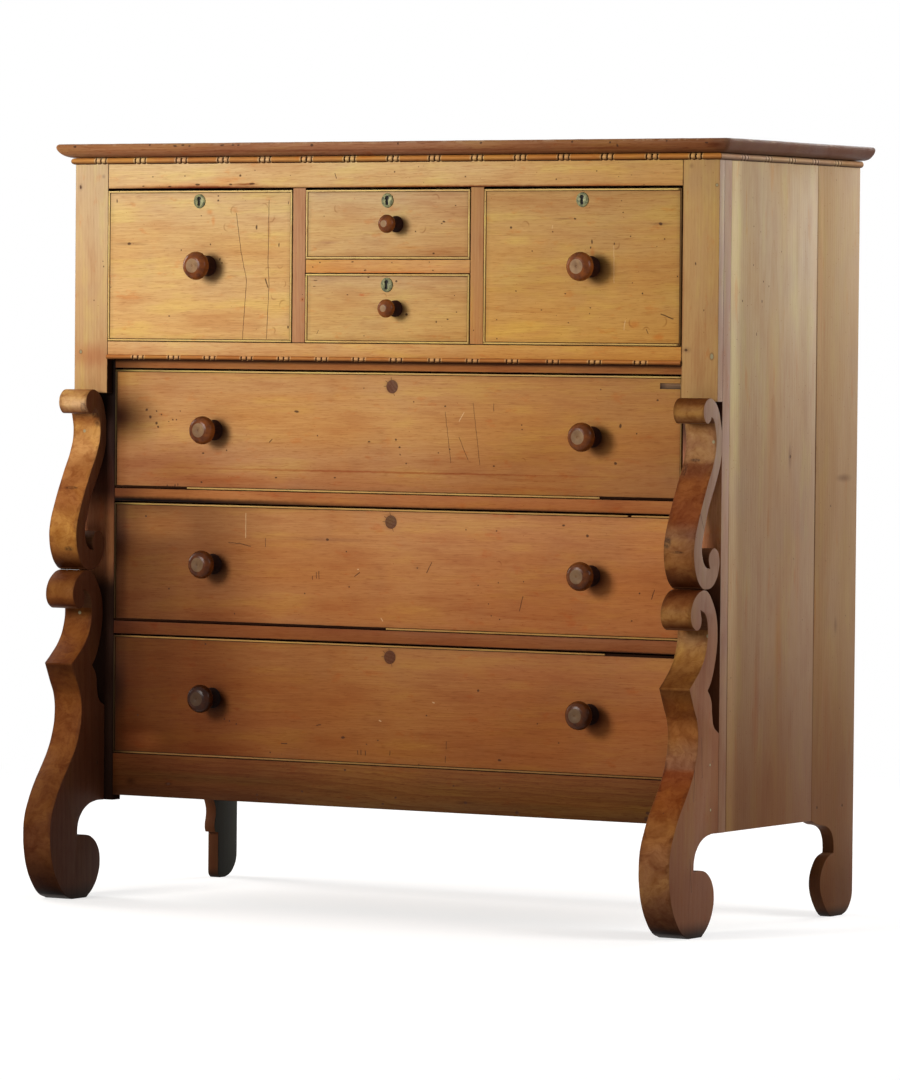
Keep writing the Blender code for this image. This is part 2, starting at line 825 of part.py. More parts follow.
def make_drawers(woods, collection, cutters):
    """Seven drawers, each on an empty at the middle of its opening."""
    profile = fit_profile(LARGE_KNOB, LARGE_KNOB_DIAMETER, LARGE_KNOB_PROJECTION)
    large = turned_mesh("large_knob", profile, KNOB_STEPS)
    profile = fit_profile(SMALL_KNOB, SMALL_KNOB_DIAMETER, SMALL_KNOB_PROJECTION)
    small = turned_mesh("small_knob", profile, KNOB_STEPS)
    plate = plate_mesh()
    outwards = Matrix.Rotation(math.radians(90), 4, "X")
    long_knobs = (KNOB_INSET - POST_INNER, POST_INNER - KNOB_INSET)
    small_opening = (-DIVIDER_INNER, DIVIDER_INNER)
    long_opening = (-POST_INNER, POST_INNER)
    left_opening = (-STILE_INNER, -DIVIDER_OUTER)
    right_opening = (DIVIDER_OUTER, STILE_INNER)
    row = (UPPER_LOW, UPPER_HIGH)
    top_small = (SMALL_RAIL_HIGH, UPPER_HIGH)
    low_small = (UPPER_LOW, SMALL_RAIL_LOW)
    level_1 = (OPENING_1_LOW, OPENING_1_HIGH)
    level_2 = (OPENING_2_LOW, OPENING_2_HIGH)
    level_3 = (OPENING_3_LOW, OPENING_3_HIGH)
    layout = {
        "upper_left": (left_opening, row, ROW_TOP_GAP, large, (0,)),
        "upper_right": (right_opening, row, ROW_TOP_GAP, large, (0,)),
        "small_upper": (small_opening, top_small, ROW_TOP_GAP, small, (0,)),
        "small_lower": (small_opening, low_small, SMALL_TOP_GAP, small, (0,)),
        "long_1": (long_opening, level_1, LONG_TOP_GAP, large, long_knobs),
        "long_2": (long_opening, level_2, LONG_TOP_GAP, large, long_knobs),
        "long_3": (long_opening, level_3, LONG_TOP_GAP, large, long_knobs),
    }
    for label, (width, height, top_gap, knob_mesh, knobs) in layout.items():
        is_long = label.startswith("long")
        face = POST_FRONT if is_long else FRAME_FRONT
        low_x, high_x = width
        low_z = height[0] + DRAWER_BOTTOM_GAP
        high_z = height[1] - top_gap
        middle_x = (low_x + high_x) / 2
        middle_z = (low_z + high_z) / 2
        runner = bpy.data.objects.new(f"runner_{label}", None)
        runner.location = (middle_x, face, middle_z)
        runner.hide_render = True
        collection.objects.link(runner)

        low = (low_x + DRAWER_SIDE_GAP, face - BEAD_HEIGHT, low_z)
        high = (high_x - DRAWER_SIDE_GAP, face + FRONT_THICKNESS, high_z)
        drawer_front(f"drawer_front_{label}", low, high, woods["front"], collection, runner)

        box_low = (low[0], high[1] + GAP, low[2])
        box_high = (high[0], BACK_FRONT - BOX_BACK_SPACE, high[2] - BOX_DROP)
        name = f"drawer_box_{label}"
        drawer_box(name, box_low, box_high, woods["inner"], collection, cutters, runner)

        for number, offset in enumerate(knobs):
            knob_name = f"knob_{label}"
            if len(knobs) > 1:
                knob_name += ("_left", "_right")[number]
            knob = bpy.data.objects.new(knob_name, knob_mesh.copy())
            collection.objects.link(knob)
            centre = (middle_x + offset + KNOB_DRIFT, face - GAP, middle_z)
            knob.matrix_world = Matrix.Translation(centre) @ outwards
            place(knob, knob_name, woods["knob"], collection, runner)

        if not is_long:
            plate_name = f"keyhole_plate_{label}"
            cover = bpy.data.objects.new(plate_name, plate.copy())
            collection.objects.link(cover)
            centre = (middle_x, face - GAP, high_z - PLATE_DROP)
            cover.matrix_world = Matrix.Translation(centre) @ outwards
            place(cover, plate_name, woods["brass"], collection, runner)


def main():
    clear_scene()
    collection = make_collection("scroll_chest_of_drawers")
    cutters = make_collection("cutters")
    woods = {
        "front": make_material("honey_pine", (0.52, 0.27, 0.09), 0.42),
        "frame": make_material("frame_pine", (0.48, 0.22, 0.08), 0.45),
        "side": make_material("side_pine", (0.42, 0.27, 0.15), 0.50),
        "top": make_material("top_wood", (0.28, 0.11, 0.04), 0.38),
        "scroll": make_material("scroll_wood", (0.33, 0.14, 0.045), 0.32),
        "knob": make_material("knob_wood", (0.14, 0.045, 0.020), 0.30),
        "inner": make_material("inner_pine", (0.50, 0.36, 0.20), 0.65),
        "brass": make_material("aged_brass", (0.38, 0.37, 0.16), 0.42, 1.0),
    }
    make_case(woods, collection)
    top_board(woods["top"], collection)
    make_trim(woods["frame"], collection)
    make_scrolls(woods["scroll"], collection)
    make_drawers(woods, collection, cutters)


main()
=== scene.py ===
import math

import bpy
from mathutils import Matrix, Vector


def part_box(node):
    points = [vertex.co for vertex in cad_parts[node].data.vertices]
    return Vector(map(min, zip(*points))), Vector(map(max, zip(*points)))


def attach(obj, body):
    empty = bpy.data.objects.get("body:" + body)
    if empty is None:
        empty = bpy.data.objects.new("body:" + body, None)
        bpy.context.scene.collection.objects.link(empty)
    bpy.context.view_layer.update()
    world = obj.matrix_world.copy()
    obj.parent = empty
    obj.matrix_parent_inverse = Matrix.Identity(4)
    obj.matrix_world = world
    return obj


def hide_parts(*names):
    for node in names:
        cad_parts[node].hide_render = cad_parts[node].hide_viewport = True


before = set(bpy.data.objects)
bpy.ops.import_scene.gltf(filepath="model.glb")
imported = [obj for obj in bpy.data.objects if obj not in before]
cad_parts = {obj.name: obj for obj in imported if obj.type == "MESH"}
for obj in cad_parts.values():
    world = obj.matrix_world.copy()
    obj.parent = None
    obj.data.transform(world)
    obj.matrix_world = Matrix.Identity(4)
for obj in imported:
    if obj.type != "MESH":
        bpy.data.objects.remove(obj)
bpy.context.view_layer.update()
print("frame loaded")

millimetre = 0.001
plateWeld = 0.02 * millimetre  # corners nearer than this are merged
turnedWeld = 0.01 * millimetre
softAngle = 40  # degrees, up to which turned and flat plates shade smooth


# modelling helpers
def leaveEdit():
    bpy.ops.object.mode_set(mode="OBJECT")


def deselectAll():
    if bpy.context.mode != "OBJECT":
        leaveEdit()
    bpy.ops.object.select_all(action="DESELECT")


def selectOnly(*pieces):
    deselectAll()
    for piece in pieces:
        piece.select_set(True)
    bpy.context.view_layer.objects.active = pieces[0]


def startEdit(piece, kind="VERT", everything=False):
    selectOnly(piece)
    bpy.ops.object.mode_set(mode="EDIT")
    bpy.ops.mesh.select_mode(type=kind)
    bpy.ops.mesh.select_all(action="SELECT" if everything else "DESELECT")


def selectFaces(piece, wanted):
    # wanted gets each face; the piece is left in edit mode
    startEdit(piece, "FACE")
    leaveEdit()
    for face in piece.data.polygons:
        face.select = bool(wanted(face))
    bpy.ops.object.mode_set(mode="EDIT")


def selectEdges(piece, wanted):
    # wanted gets the two ends of each edge; the piece is left in edit mode
    startEdit(piece, "EDGE")
    leaveEdit()
    corners = piece.data.vertices
    for edge in piece.data.edges:
        first, second = (corners[index].co for index in edge.vertices)
        edge.select = bool(wanted(first, second))
    bpy.ops.object.mode_set(mode="EDIT")


def faceOutwards():
    # turns every face of the mesh that is being edited outwards and ends the edit
    bpy.ops.mesh.select_all(action="SELECT")
    bpy.ops.mesh.normals_make_consistent(inside=False)
    leaveEdit()


def cutAway(piece, point, normal):
    # takes off what lies beyond a plane and fills the cut
    startEdit(piece, "VERT", True)
    bpy.ops.mesh.bisect(plane_co=point, plane_no=normal, use_fill=True, clear_outer=True)
    leaveEdit()


def applyAll(piece):
    selectOnly(piece)
    for modifier in list(piece.modifiers):
        bpy.ops.object.modifier_apply(modifier=modifier.name)


def smoothByAngle(piece, angle=35):
    selectOnly(piece)
    bpy.ops.object.shade_smooth_by_angle(angle=math.radians(angle))


def placeMesh(piece, matrix):
    piece.data.transform(matrix)
    piece.data.update()


def nameBoth(piece, name):
    piece.name = name
    piece.data.name = name
    return piece


def copyPiece(piece, name, matrix):
    twin = piece.copy()
    twin.data = piece.data.copy()
    bpy.context.scene.collection.objects.link(twin)
    placeMesh(twin, matrix)
    return nameBoth(twin, name)


def joinPieces(name, pieces):
    selectOnly(*pieces)
    bpy.ops.object.join()
    return nameBoth(bpy.context.object, name)


def removePiece(piece):
    bpy.data.objects.remove(piece, do_unlink=True)


def finishPiece(piece, material, body, nodes=()):
    if material is not None:
        piece.data.materials.clear()
        piece.data.materials.append(material)
    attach(piece, body)
    if nodes:
        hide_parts(*nodes)


def inMetres(outline):
    # (u, v, sharp) points given in millimetres
    return [(u * millimetre, v * millimetre, sharp) for u, v, sharp in outline]


def startBox(name, low, high):
    low, high = Vector(low), Vector(high)
    deselectAll()
    bpy.ops.mesh.primitive_cube_add(size=1)
    block = nameBoth(bpy.context.object, name)
    placeMesh(block, Matrix.Translation((low + high) / 2) @ Matrix.Diagonal((*(high - low), 1)))
    return block


def roundEdges(piece, width, segments=2, angle=30):
    bevel = piece.modifiers.new("roundEdges", "BEVEL")
    bevel.width = width
    bevel.segments = segments
    bevel.limit_method = "ANGLE"
    bevel.angle_limit = math.radians(angle)
    bevel.use_clamp_overlap = True
    applyAll(piece)
    smoothByAngle(piece)


def makeBoard(name, low, high, edge=0.9 * millimetre):
    board = startBox(name, low, high)
    roundEdges(board, edge)
    return board


def drawCurve(name, points, closed, resolution):
    # (u, v, sharp) points become a run of mesh edges in the XY plane
    deselectAll()
    bpy.ops.curve.primitive_bezier_circle_add(radius=1)
    drawn = bpy.context.object
    drawn.name = name
    drawn.data.resolution_u = resolution
    drawn.data.splines.clear()
    line = drawn.data.splines.new("BEZIER")
    line.bezier_points.add(len(points) - 1)
    for knot, (u, v, sharp) in zip(line.bezier_points, points):
        knot.co = (u, v, 0)
        knot.handle_left_type = knot.handle_right_type = "VECTOR" if sharp else "AUTO"
    line.use_cyclic_u = closed
    selectOnly(drawn)
    bpy.ops.object.convert(target="MESH")
    return bpy.context.object


def makePlate(name, points, thickness, edge, resolution=6):
    # a flat outline, filled, extruded both ways from its plane and rounded at the rims
    plate = drawCurve(name, points, True, resolution)
    startEdit(plate, "VERT", True)
    bpy.ops.mesh.remove_doubles(threshold=plateWeld)
    bpy.ops.mesh.select_all(action="SELECT")
    bpy.ops.mesh.edge_face_add()
    bpy.ops.mesh.extrude_region_move(TRANSFORM_OT_translate={"value": (0, 0, thickness)})
    faceOutwards()
    half = thickness / 2
    placeMesh(plate, Matrix.Translation((0, 0, -half)))
    if edge > 0:
        near = 1e-6
        selectEdges(plate, lambda a, b: abs(a.z - b.z) < near and abs(abs(a.z) - half) < near)
        bpy.ops.mesh.bevel(offset=edge, segments=3, affect="EDGES", clamp_overlap=False)
        leaveEdit()
    smoothByAngle(nameBoth(plate, name), softAngle)
    return plate


def turnPiece(name, profile, steps, resolution):
    # (radius, height, sharp) from tip to base, spun about Z
    turned = drawCurve(name, profile, False, resolution)
    placeMesh(turned, Matrix(((1, 0, 0, 0), (0, 0, 1, 0), (0, 1, 0, 0), (0, 0, 0, 1))))
    startEdit(turned, "VERT", True)
    bpy.ops.mesh.spin(
        steps=steps, angle=math.tau, center=(0, 0, 0), axis=(0, 0, 1), use_auto_merge=True
    )
    bpy.ops.mesh.select_all(action="SELECT")
    bpy.ops.mesh.remove_doubles(threshold=turnedWeld)
    faceOutwards()
    smoothByAngle(nameBoth(turned, name), softAngle)
    return turned


# shader helpers
def fillInputs(tree, sockets, inputs):
    # a value is either a socket to link or a constant to set
    for key, value in inputs.items():
        if isinstance(value, bpy.types.NodeSocket):
            tree.links.new(value, sockets[key])
        else:
            if sockets[key].type == "RGBA" and len(value) == 3:
                value = (*value, 1)
            sockets[key].default_value = value


def addNode(tree, kind, inputs=None, **settings):
    made = tree.nodes.new(kind)
    for key, value in settings.items():
        setattr(made, key, value)
    fillInputs(tree, made.inputs, inputs or {})
    return made


def calc(tree, operation, *values, clamp=False):
    inputs = dict(enumerate(values))
    return addNode(tree, "ShaderNodeMath", inputs, operation=operation, use_clamp=clamp).outputs[0]


def times(tree, *values):
    product = values[0]
    for value in values[1:]:
        product = calc(tree, "MULTIPLY", product, value)
    return product


def vectorCalc(tree, operation, *values):
    inputs = dict(enumerate(values))
    made = addNode(tree, "ShaderNodeVectorMath", inputs, operation=operation)
    single = operation in ("LENGTH", "DISTANCE", "DOT_PRODUCT")
    return made.outputs["Value"] if single else made.outputs["Vector"]


def vectorScale(tree, vector, scale):
    inputs = {0: vector, "Scale": scale}
    return addNode(tree, "ShaderNodeVectorMath", inputs, operation="SCALE").outputs[0]


def mixColour(tree, factor, under, over, blend="MIX"):
    inputs = {0: factor, 6: under, 7: over}
    return addNode(tree, "ShaderNodeMix", inputs, data_type="RGBA", blend_type=blend).outputs[2]


def tint(tree, factor, tone, colour):
    # multiplies the tone by a colour where the factor is 1
    return mixColour(tree, factor, tone, colour, "MULTIPLY")


def remap(tree, value, low, high, outLow=0.0, outHigh=1.0, smooth=False):
    inputs = {
        "Value": value, "From Min": low, "From Max": high, "To Min": outLow, "To Max": outHigh,
    }
    kind = "SMOOTHSTEP" if smooth else "LINEAR"
    return addNode(tree, "ShaderNodeMapRange", inputs, interpolation_type=kind).outputs["Result"]


def fadeOut(tree, value, start, end):
    # 1 up to the start, 0 from the end on
    return remap(tree, value, start, end, 1.0, 0.0, True)


def noise(tree, vector, scale, detail=2.0, roughness=0.5, output="Fac"):
    inputs = {"Vector": vector, "Scale": scale, "Detail": detail, "Roughness": roughness}
    return addNode(tree, "ShaderNodeTexNoise", inputs).outputs[output]


def drawnNoise(tree, vector, stretch, detail, roughness):
    # stretch says how fine the noise is along each axis
    return noise(tree, vectorCalc(tree, "MULTIPLY", vector, stretch), 1.0, detail, roughness)


def evenNoise(tree, vector, scale, detail, roughness=0.5):
    # a vector of noise with its middle at 0
    shift = noise(tree, vector, scale, detail, roughness, "Color")
    return vectorCalc(tree, "SUBTRACT", shift, (0.5, 0.5, 0.5))


def pieceCoords(tree):
    return addNode(tree, "ShaderNodeTexCoord").outputs["Object"]


def splitVector(tree, vector):
    return addNode(tree, "ShaderNodeSeparateXYZ", {0: vector}).outputs


def meshValue(tree, name):
    return addNode(tree, "ShaderNodeAttribute", attribute_name=name).outputs["Fac"]


def bump(tree, height, strength, distance):
    inputs = {"Height": height, "Strength": strength, "Distance": distance}
    return addNode(tree, "ShaderNodeBump", inputs).outputs[0]


def toneRamp(tree, value, stops):
    # stops are (place in metres, colour), lowest first
    low, high = stops[0][0], stops[-1][0]
    spread = remap(tree, value, low, high)
    ramp = addNode(tree, "ShaderNodeValToRGB", {"Fac": spread})
    ramp.color_ramp.interpolation = "EASE"
    marks = ramp.color_ramp.elements
    while len(marks) < len(stops):
        marks.new(0.5)
    for mark, (place, colour) in zip(marks, stops):
        mark.position = (place - low) / (high - low)
    for mark, (place, colour) in zip(marks, stops):
        mark.color = (*colour, 1)
    return ramp.outputs["Color"]


def newGroup(name, inputs, outputs):
    # inputs hold the kind of each socket; every output is a float
    tree = bpy.data.node_groups.new(name, "ShaderNodeTree")
    for label, kind in inputs.items():
        tree.interface.new_socket(label, in_out="INPUT", socket_type="NodeSocket" + kind)
    for label in outputs:
        tree.interface.new_socket(label, in_out="OUTPUT", socket_type="NodeSocketFloat")
    entry = tree.nodes.new("NodeGroupInput")
    leave = tree.nodes.new("NodeGroupOutput")
    return tree, entry.outputs, leave.inputs


def placeGroup(tree, group, inputs):
    made = tree.nodes.new("ShaderNodeGroup")
    made.node_tree = group
    fillInputs(tree, made.inputs, inputs)
    return made.outputs


# how fine each pattern is along and across the grain, its detail and its roughness
grainPatterns = {
    "Fibre": ((20.0, 640.0, 640.0), 3.0, 0.62),
    "Dash": ((60.0, 900.0, 900.0), 2.0, 0.55),
    "Blotch": ((7.0, 34.0, 34.0), 3.0, 0.6),
    "Cloud": ((2.2, 11.0, 11.0), 3.0, 0.55),
    "Grey": ((9.0, 9.0, 9.0), 2.0, 0.5),
}
swayStretch = (1.1, 4, 4)
lateShare = 2.2  # the higher, the narrower the dark part of a growth ring


# sawn pine with its grain along X and the heart of the log on the X axis
def buildPineGrain():
    tree, entry, leave = newGroup(
        "pineGrain", {"Vector": "Vector", "Ring Spacing": "Float", "Wander": "Float"},
        ("Growth", *grainPatterns),
    )
    drift = vectorCalc(tree, "MULTIPLY", entry["Vector"], swayStretch)
    reach = addNode(tree, "ShaderNodeCombineXYZ", {1: entry["Wander"], 2: entry["Wander"]})
    sway = vectorCalc(tree, "MULTIPLY", evenNoise(tree, drift, 1.0, 3.0), reach.outputs[0])
    swayed = vectorCalc(tree, "ADD", entry["Vector"], sway)
    across = vectorCalc(tree, "MULTIPLY", swayed, (0.0, 1.0, 1.0))
    radius = vectorCalc(tree, "LENGTH", across)
    ring = calc(tree, "FRACT", calc(tree, "DIVIDE", radius, entry["Ring Spacing"]))
    results = {"Growth": calc(tree, "POWER", ring, lateShare)}
    for label, pattern in grainPatterns.items():
        source = entry["Vector"] if label in ("Fibre", "Grey") else swayed
        results[label] = drawnNoise(tree, source, *pattern)
    fillInputs(tree, leave, results)
    return tree


# a soft round or oval spot: 1 in the middle, 0 outside
def buildSpot():
    tree, entry, leave = newGroup("spot", {
        "Vector": "Vector", "Centre": "Vector", "Half Size": "Vector", "Softness": "Float",
    }, ("Mask",))
    away = vectorCalc(tree, "SUBTRACT", entry["Vector"], entry["Centre"])
    away = vectorCalc(tree, "DIVIDE", away, entry["Half Size"])
    start = calc(tree, "SUBTRACT", 1.0, entry["Softness"])
    mask = fadeOut(tree, vectorCalc(tree, "LENGTH", away), start, 1.0)
    fillInputs(tree, leave, {"Mask": mask})
    return tree


# a line from one point to another that fades out at its width
def buildScratch():
    tree, entry, leave = newGroup("scratch", {
        "Vector": "Vector", "Start": "Vector", "End": "Vector", "Width": "Float",
    }, ("Mask",))
    reach = vectorCalc(tree, "SUBTRACT", entry["End"], entry["Start"])
    away = vectorCalc(tree, "SUBTRACT", entry["Vector"], entry["Start"])
    long = vectorCalc(tree, "DOT_PRODUCT", reach, reach)
    along = vectorCalc(tree, "DOT_PRODUCT", away, reach)
    share = calc(tree, "DIVIDE", along, long, clamp=True)
    distance = vectorCalc(tree, "DISTANCE", away, vectorScale(tree, reach, share))
    solid = times(tree, entry["Width"], 0.35)
    fillInputs(tree, leave, {"Mask": fadeOut(tree, distance, solid, entry["Width"])})
    return tree


# small dark specks and dents scattered over a surface
def buildSpecks():
    tree, entry, leave = newGroup("specks", {
        "Vector": "Vector", "Per Metre": "Float", "Share": "Float", "Size": "Float",
    }, ("Mask",))
    inputs = {"Vector": entry["Vector"], "Scale": entry["Per Metre"]}
    cells = addNode(tree, "ShaderNodeTexVoronoi", inputs)
    draw = addNode(tree, "ShaderNodeSeparateColor", {0: cells.outputs["Color"]}).outputs[0]
    rest = calc(tree, "SUBTRACT", 1.0, entry["Share"])
    chosen = calc(tree, "SUBTRACT", draw, rest, clamp=True)
    grown = calc(tree, "DIVIDE", chosen, entry["Share"])
    size = times(tree, grown, entry["Size"], entry["Per Metre"])
    inner = times(tree, size, 0.4)
    outer = calc(tree, "ADD", size, 0.0001)
    mask = fadeOut(tree, cells.outputs["Distance"], inner, outer)
    fillInputs(tree, leave, {"Mask": mask})
    return tree


# dirt that gathers, and painted shade that falls, inside the rim of a rectangle in the XZ plane
def buildRimGrimeAndShade():
    tree, entry, leave = newGroup("rimGrimeAndShade", {
        "Vector": "Vector", "Low": "Vector", "High": "Vector", "Reach": "Float",
    }, ("Mask",))
    first = vectorCalc(tree, "SUBTRACT", entry["Vector"], entry["Low"])
    second = vectorCalc(tree, "SUBTRACT", entry["High"], entry["Vector"])
    parts = splitVector(tree, vectorCalc(tree, "MINIMUM", first, second))
    inside = calc(tree, "MINIMUM", parts[0], parts[2])
    ragged = noise(tree, entry["Vector"], 38.0, 3.0, 0.6)
    reach = times(tree, ragged, entry["Reach"], 2.0)
    fillInputs(tree, leave, {"Mask": fadeOut(tree, inside, 0.0, reach)})
    return tree


# a bruise left by something round: its shaded and its lit half
def buildMoon():
    tree, entry, leave = newGroup("moon", {
        "Vector": "Vector", "Centre": "Vector", "Radius": "Float", "Shade Side": "Vector",
    }, ("Dark", "Pale"))
    away = vectorCalc(tree, "SUBTRACT", entry["Vector"], entry["Centre"])
    distance = calc(tree, "DIVIDE", vectorCalc(tree, "LENGTH", away), entry["Radius"])
    inside = remap(tree, distance, 0.55, 0.85, smooth=True)
    ring = times(tree, inside, fadeOut(tree, distance, 0.85, 1.1))
    towards = vectorCalc(tree, "DOT_PRODUCT", away, entry["Shade Side"])
    lift = calc(tree, "DIVIDE", towards, entry["Radius"])
    fillInputs(tree, leave, {
        "Dark": times(tree, ring, remap(tree, lift, 0.1, 0.9)),
        "Pale": times(tree, ring, remap(tree, lift, -0.2, -0.8)),
    })
    return tree


pineGrain = buildPineGrain()
spot = buildSpot()
scratch = buildScratch()
specks = buildSpecks()
rimGrimeAndShade = buildRimGrimeAndShade()
moon = buildMoon()

grainTurn = {"X": (0, 0, 0), "Z": (0, math.radians(90), 0), "Y": (0, 0, math.radians(90))}
onlyPlane = {"XZ": (1, 0, 1), "YZ": (0, 1, 1)}
# colours that a tone is multiplied by
deepAmber = (0.62, 0.4, 0.24)  # what the late wood does
cloudAmber = (0.93, 0.78, 0.58)
greyTan = (0.9, 0.92, 1.06)
dashBrown = (0.58, 0.4, 0.3)
honeyGlow = (1.1, 1.24, 1)
dullBrown = (0.86, 0.74, 0.72)
freckleBrown = (0.62, 0.4, 0.3)
scuffRed = (1, 0.66, 0.46)
knotGrey = (0.66, 0.62, 0.66)
# a bruise's painted shaded half and its painted lit half
bruiseShade = (0.5, 0.3, 0.2)
bruiseHighlight = (1.08, 1.1, 1.14)
# colours that cover it
dentDark = (0.055, 0.022, 0.012)
# dirt, and painted shade in joints, rims and grooves
grimeAndShadeDark = (0.055, 0.02, 0.01)
paleWood = (0.8, 0.6, 0.34)
fillerGrey = (0.32, 0.29, 0.17)
# pattern, where it starts and where it is full, the setting that weighs it, its colour
grainEffects = (
    ("Cloud", 0.4, 0.64, "cloud", cloudAmber),
    ("Grey", 0.52, 0.68, "grey", greyTan),
    ("Growth", 0.0, 1.0, "growth", deepAmber),
    ("Fibre", 0.35, 0.7, "fibre", deepAmber),
    ("Dash", 0.55, 0.72, "dash", dashBrown),
    ("Blotch", 0.52, 0.68, "blotch", honeyGlow),
    ("Blotch", 0.46, 0.32, "blotch", dullBrown),
)

# how marks are drawn on the wood
markLooks = {
    "fray": (120.0, 2.0),  # scale and detail of what makes their outlines uneven
    "frayReach": 2.2 * millimetre,
    "stainSoftness": 0.95,
    "freckles": (150.0, 1.2 * millimetre, 0.75),  # per metre, size, strength
    "scuff": (0.6, 0.7),  # from where to where its noise counts
    "rubbed": (85.0, 5.0, 0.62),  # scale, detail, roughness
    "rubbedFrom": (0.53, 0.6),
    "rubbedLean": (0.97, 0.8),
    "edgeLean": (0.985, 0.95),
    "moonTurn": (0.5, 1.9),  # radians: the lit side of the first one, and on to the next
    "moonStrength": (0.6, 0.5),  # of the dark and of the pale half
    "puttyRim": (1.5, 0.5),  # size beside that of the putty, strength
    "putty": 0.85,
    "pale": 0.42,
}
# how the surface catches the light
surfaceLooks = {
    "fibre": 0.5,  # shares in the relief
    "growth": 0.25,
    "dents": 2.0,
    "relief": 0.6 * millimetre,
    "cloudRough": (0.2, 0.8, -0.06, 0.1),  # clouds from and to, what they add to the roughness
    # groove: painted shade in the grooves of a turned bar
    "groove": (0.72, 0.96, 0.93),  # of a turned bar: from and to in radii, strength
}


def newMaterial(name):
    material = bpy.data.materials.new(name)
    material.use_nodes = True
    tree = material.node_tree
    return material, tree, tree.nodes["Principled BSDF"]


def strongest(tree, masks):
    total = masks[0]
    for mask in masks[1:]:
        total = calc(tree, "MAXIMUM", total, mask)
    return total


def onPlane(plane, across, up, deep=0):
    # a place on a face seen from the front (XZ) or from the side (YZ), in millimetres
    flat = (across, deep, up) if plane == "XZ" else (deep, across, up)
    return tuple(part * millimetre for part in flat)


def spotMask(tree, coords, plane, mark, softness=0.5):
    # a mark is (across, up, half width, half height)
    across, up, wide, high = mark
    return placeGroup(tree, spot, {
        "Vector": coords,
        "Centre": onPlane(plane, across, up),
        "Half Size": onPlane(plane, wide, high, 1e6),
        "Softness": softness,
    })["Mask"]


def scratchMasks(tree, coords, plane, lines):
    # each line is a width and then its (across, up) corners
    return [
        placeGroup(tree, scratch, {
            "Vector": coords,
            "Start": onPlane(plane, *start),
            "End": onPlane(plane, *end),
            "Width": width * millimetre,
        })["Mask"]
        for width, *corners in lines
        for start, end in zip(corners, corners[1:])
    ]


def speckMask(tree, coords, perMetre, share, size):
    return placeGroup(tree, specks, {
        "Vector": coords, "Per Metre": perMetre, "Share": share, "Size": size,
    })["Mask"]


def coverBy(tree, mask, strength, tone, colour):
    return mixColour(tree, times(tree, mask, strength), tone, colour)


def tintBy(tree, mask, strength, tone, colour):
    return tint(tree, times(tree, mask, strength), tone, colour)


def grainTone(tree, look, coords):
    # the tone of clean wood, and the patterns of the grain
    centred = vectorCalc(tree, "SUBTRACT", coords, look["heart"])
    turn = Vector(grainTurn[look["grain"]]) + Vector(look["tilt"])
    turned = addNode(tree, "ShaderNodeMapping", {"Vector": centred, "Rotation": turn})
    grain = placeGroup(tree, pineGrain, {
        "Vector": turned.outputs[0],
        "Ring Spacing": look["ringSpacing"],
        "Wander": look["wander"],
    })
    parts = splitVector(tree, coords)
    tone = toneRamp(tree, parts[2], look["tones"])
    if look["across"]:
        tone = tint(tree, 1.0, tone, toneRamp(tree, parts[0], look["across"]))
    for pattern, start, full, setting, colour in grainEffects:
        mask = remap(tree, grain[pattern], start, full)
        tone = tintBy(tree, mask, look[setting], tone, colour)
    if look["lean"]:
        # painted shade: the turned-down and the turned-up faces are darkened
        lean = meshValue(tree, "lean")
        tone = tint(tree, remap(tree, lean, 0.1, -0.85), tone, look["lean"][0])
        tone = tint(tree, remap(tree, lean, 0.45, 0.98), tone, look["lean"][1])
    return tone, grain


def rubEdge(tree, look, coords, tone):
    # pale wear along a front edge; marks laid out over it would run on over the flat top
    start, full, strength = look["worn"]
    lean = meshValue(tree, "lean")
    patchy = remap(tree, noise(tree, coords, *markLooks["rubbed"]), *markLooks["rubbedFrom"])
    high = remap(tree, splitVector(tree, coords)[2], start, full)
    rubbed = times(tree, patchy, high, remap(tree, lean, *markLooks["rubbedLean"]))
    tone = coverBy(tree, rubbed, strength, tone, look["wornTone"])
    return tone, remap(tree, lean, *markLooks["edgeLean"])


def addMoons(tree, look, wobbly, tone):
    plane = look["plane"]
    first, step = markLooks["moonTurn"]
    strengths = markLooks["moonStrength"]
    shadedHalves, lit = [], []
    for number, (across, up, radius) in enumerate(look["moons"]):
        turn = first + step * number
        outputs = placeGroup(tree, moon, {
            "Vector": wobbly,
            "Centre": onPlane(plane, across, up),
            "Radius": radius * millimetre,
            "Shade Side": onPlane(plane, math.sin(turn) / millimetre, math.cos(turn) / millimetre),
        })
        shadedHalves.append(outputs["Dark"])
        lit.append(outputs["Pale"])
    tone = tintBy(tree, strongest(tree, shadedHalves), strengths[0], tone, bruiseShade)
    return tintBy(tree, strongest(tree, lit), strengths[1], tone, bruiseHighlight)


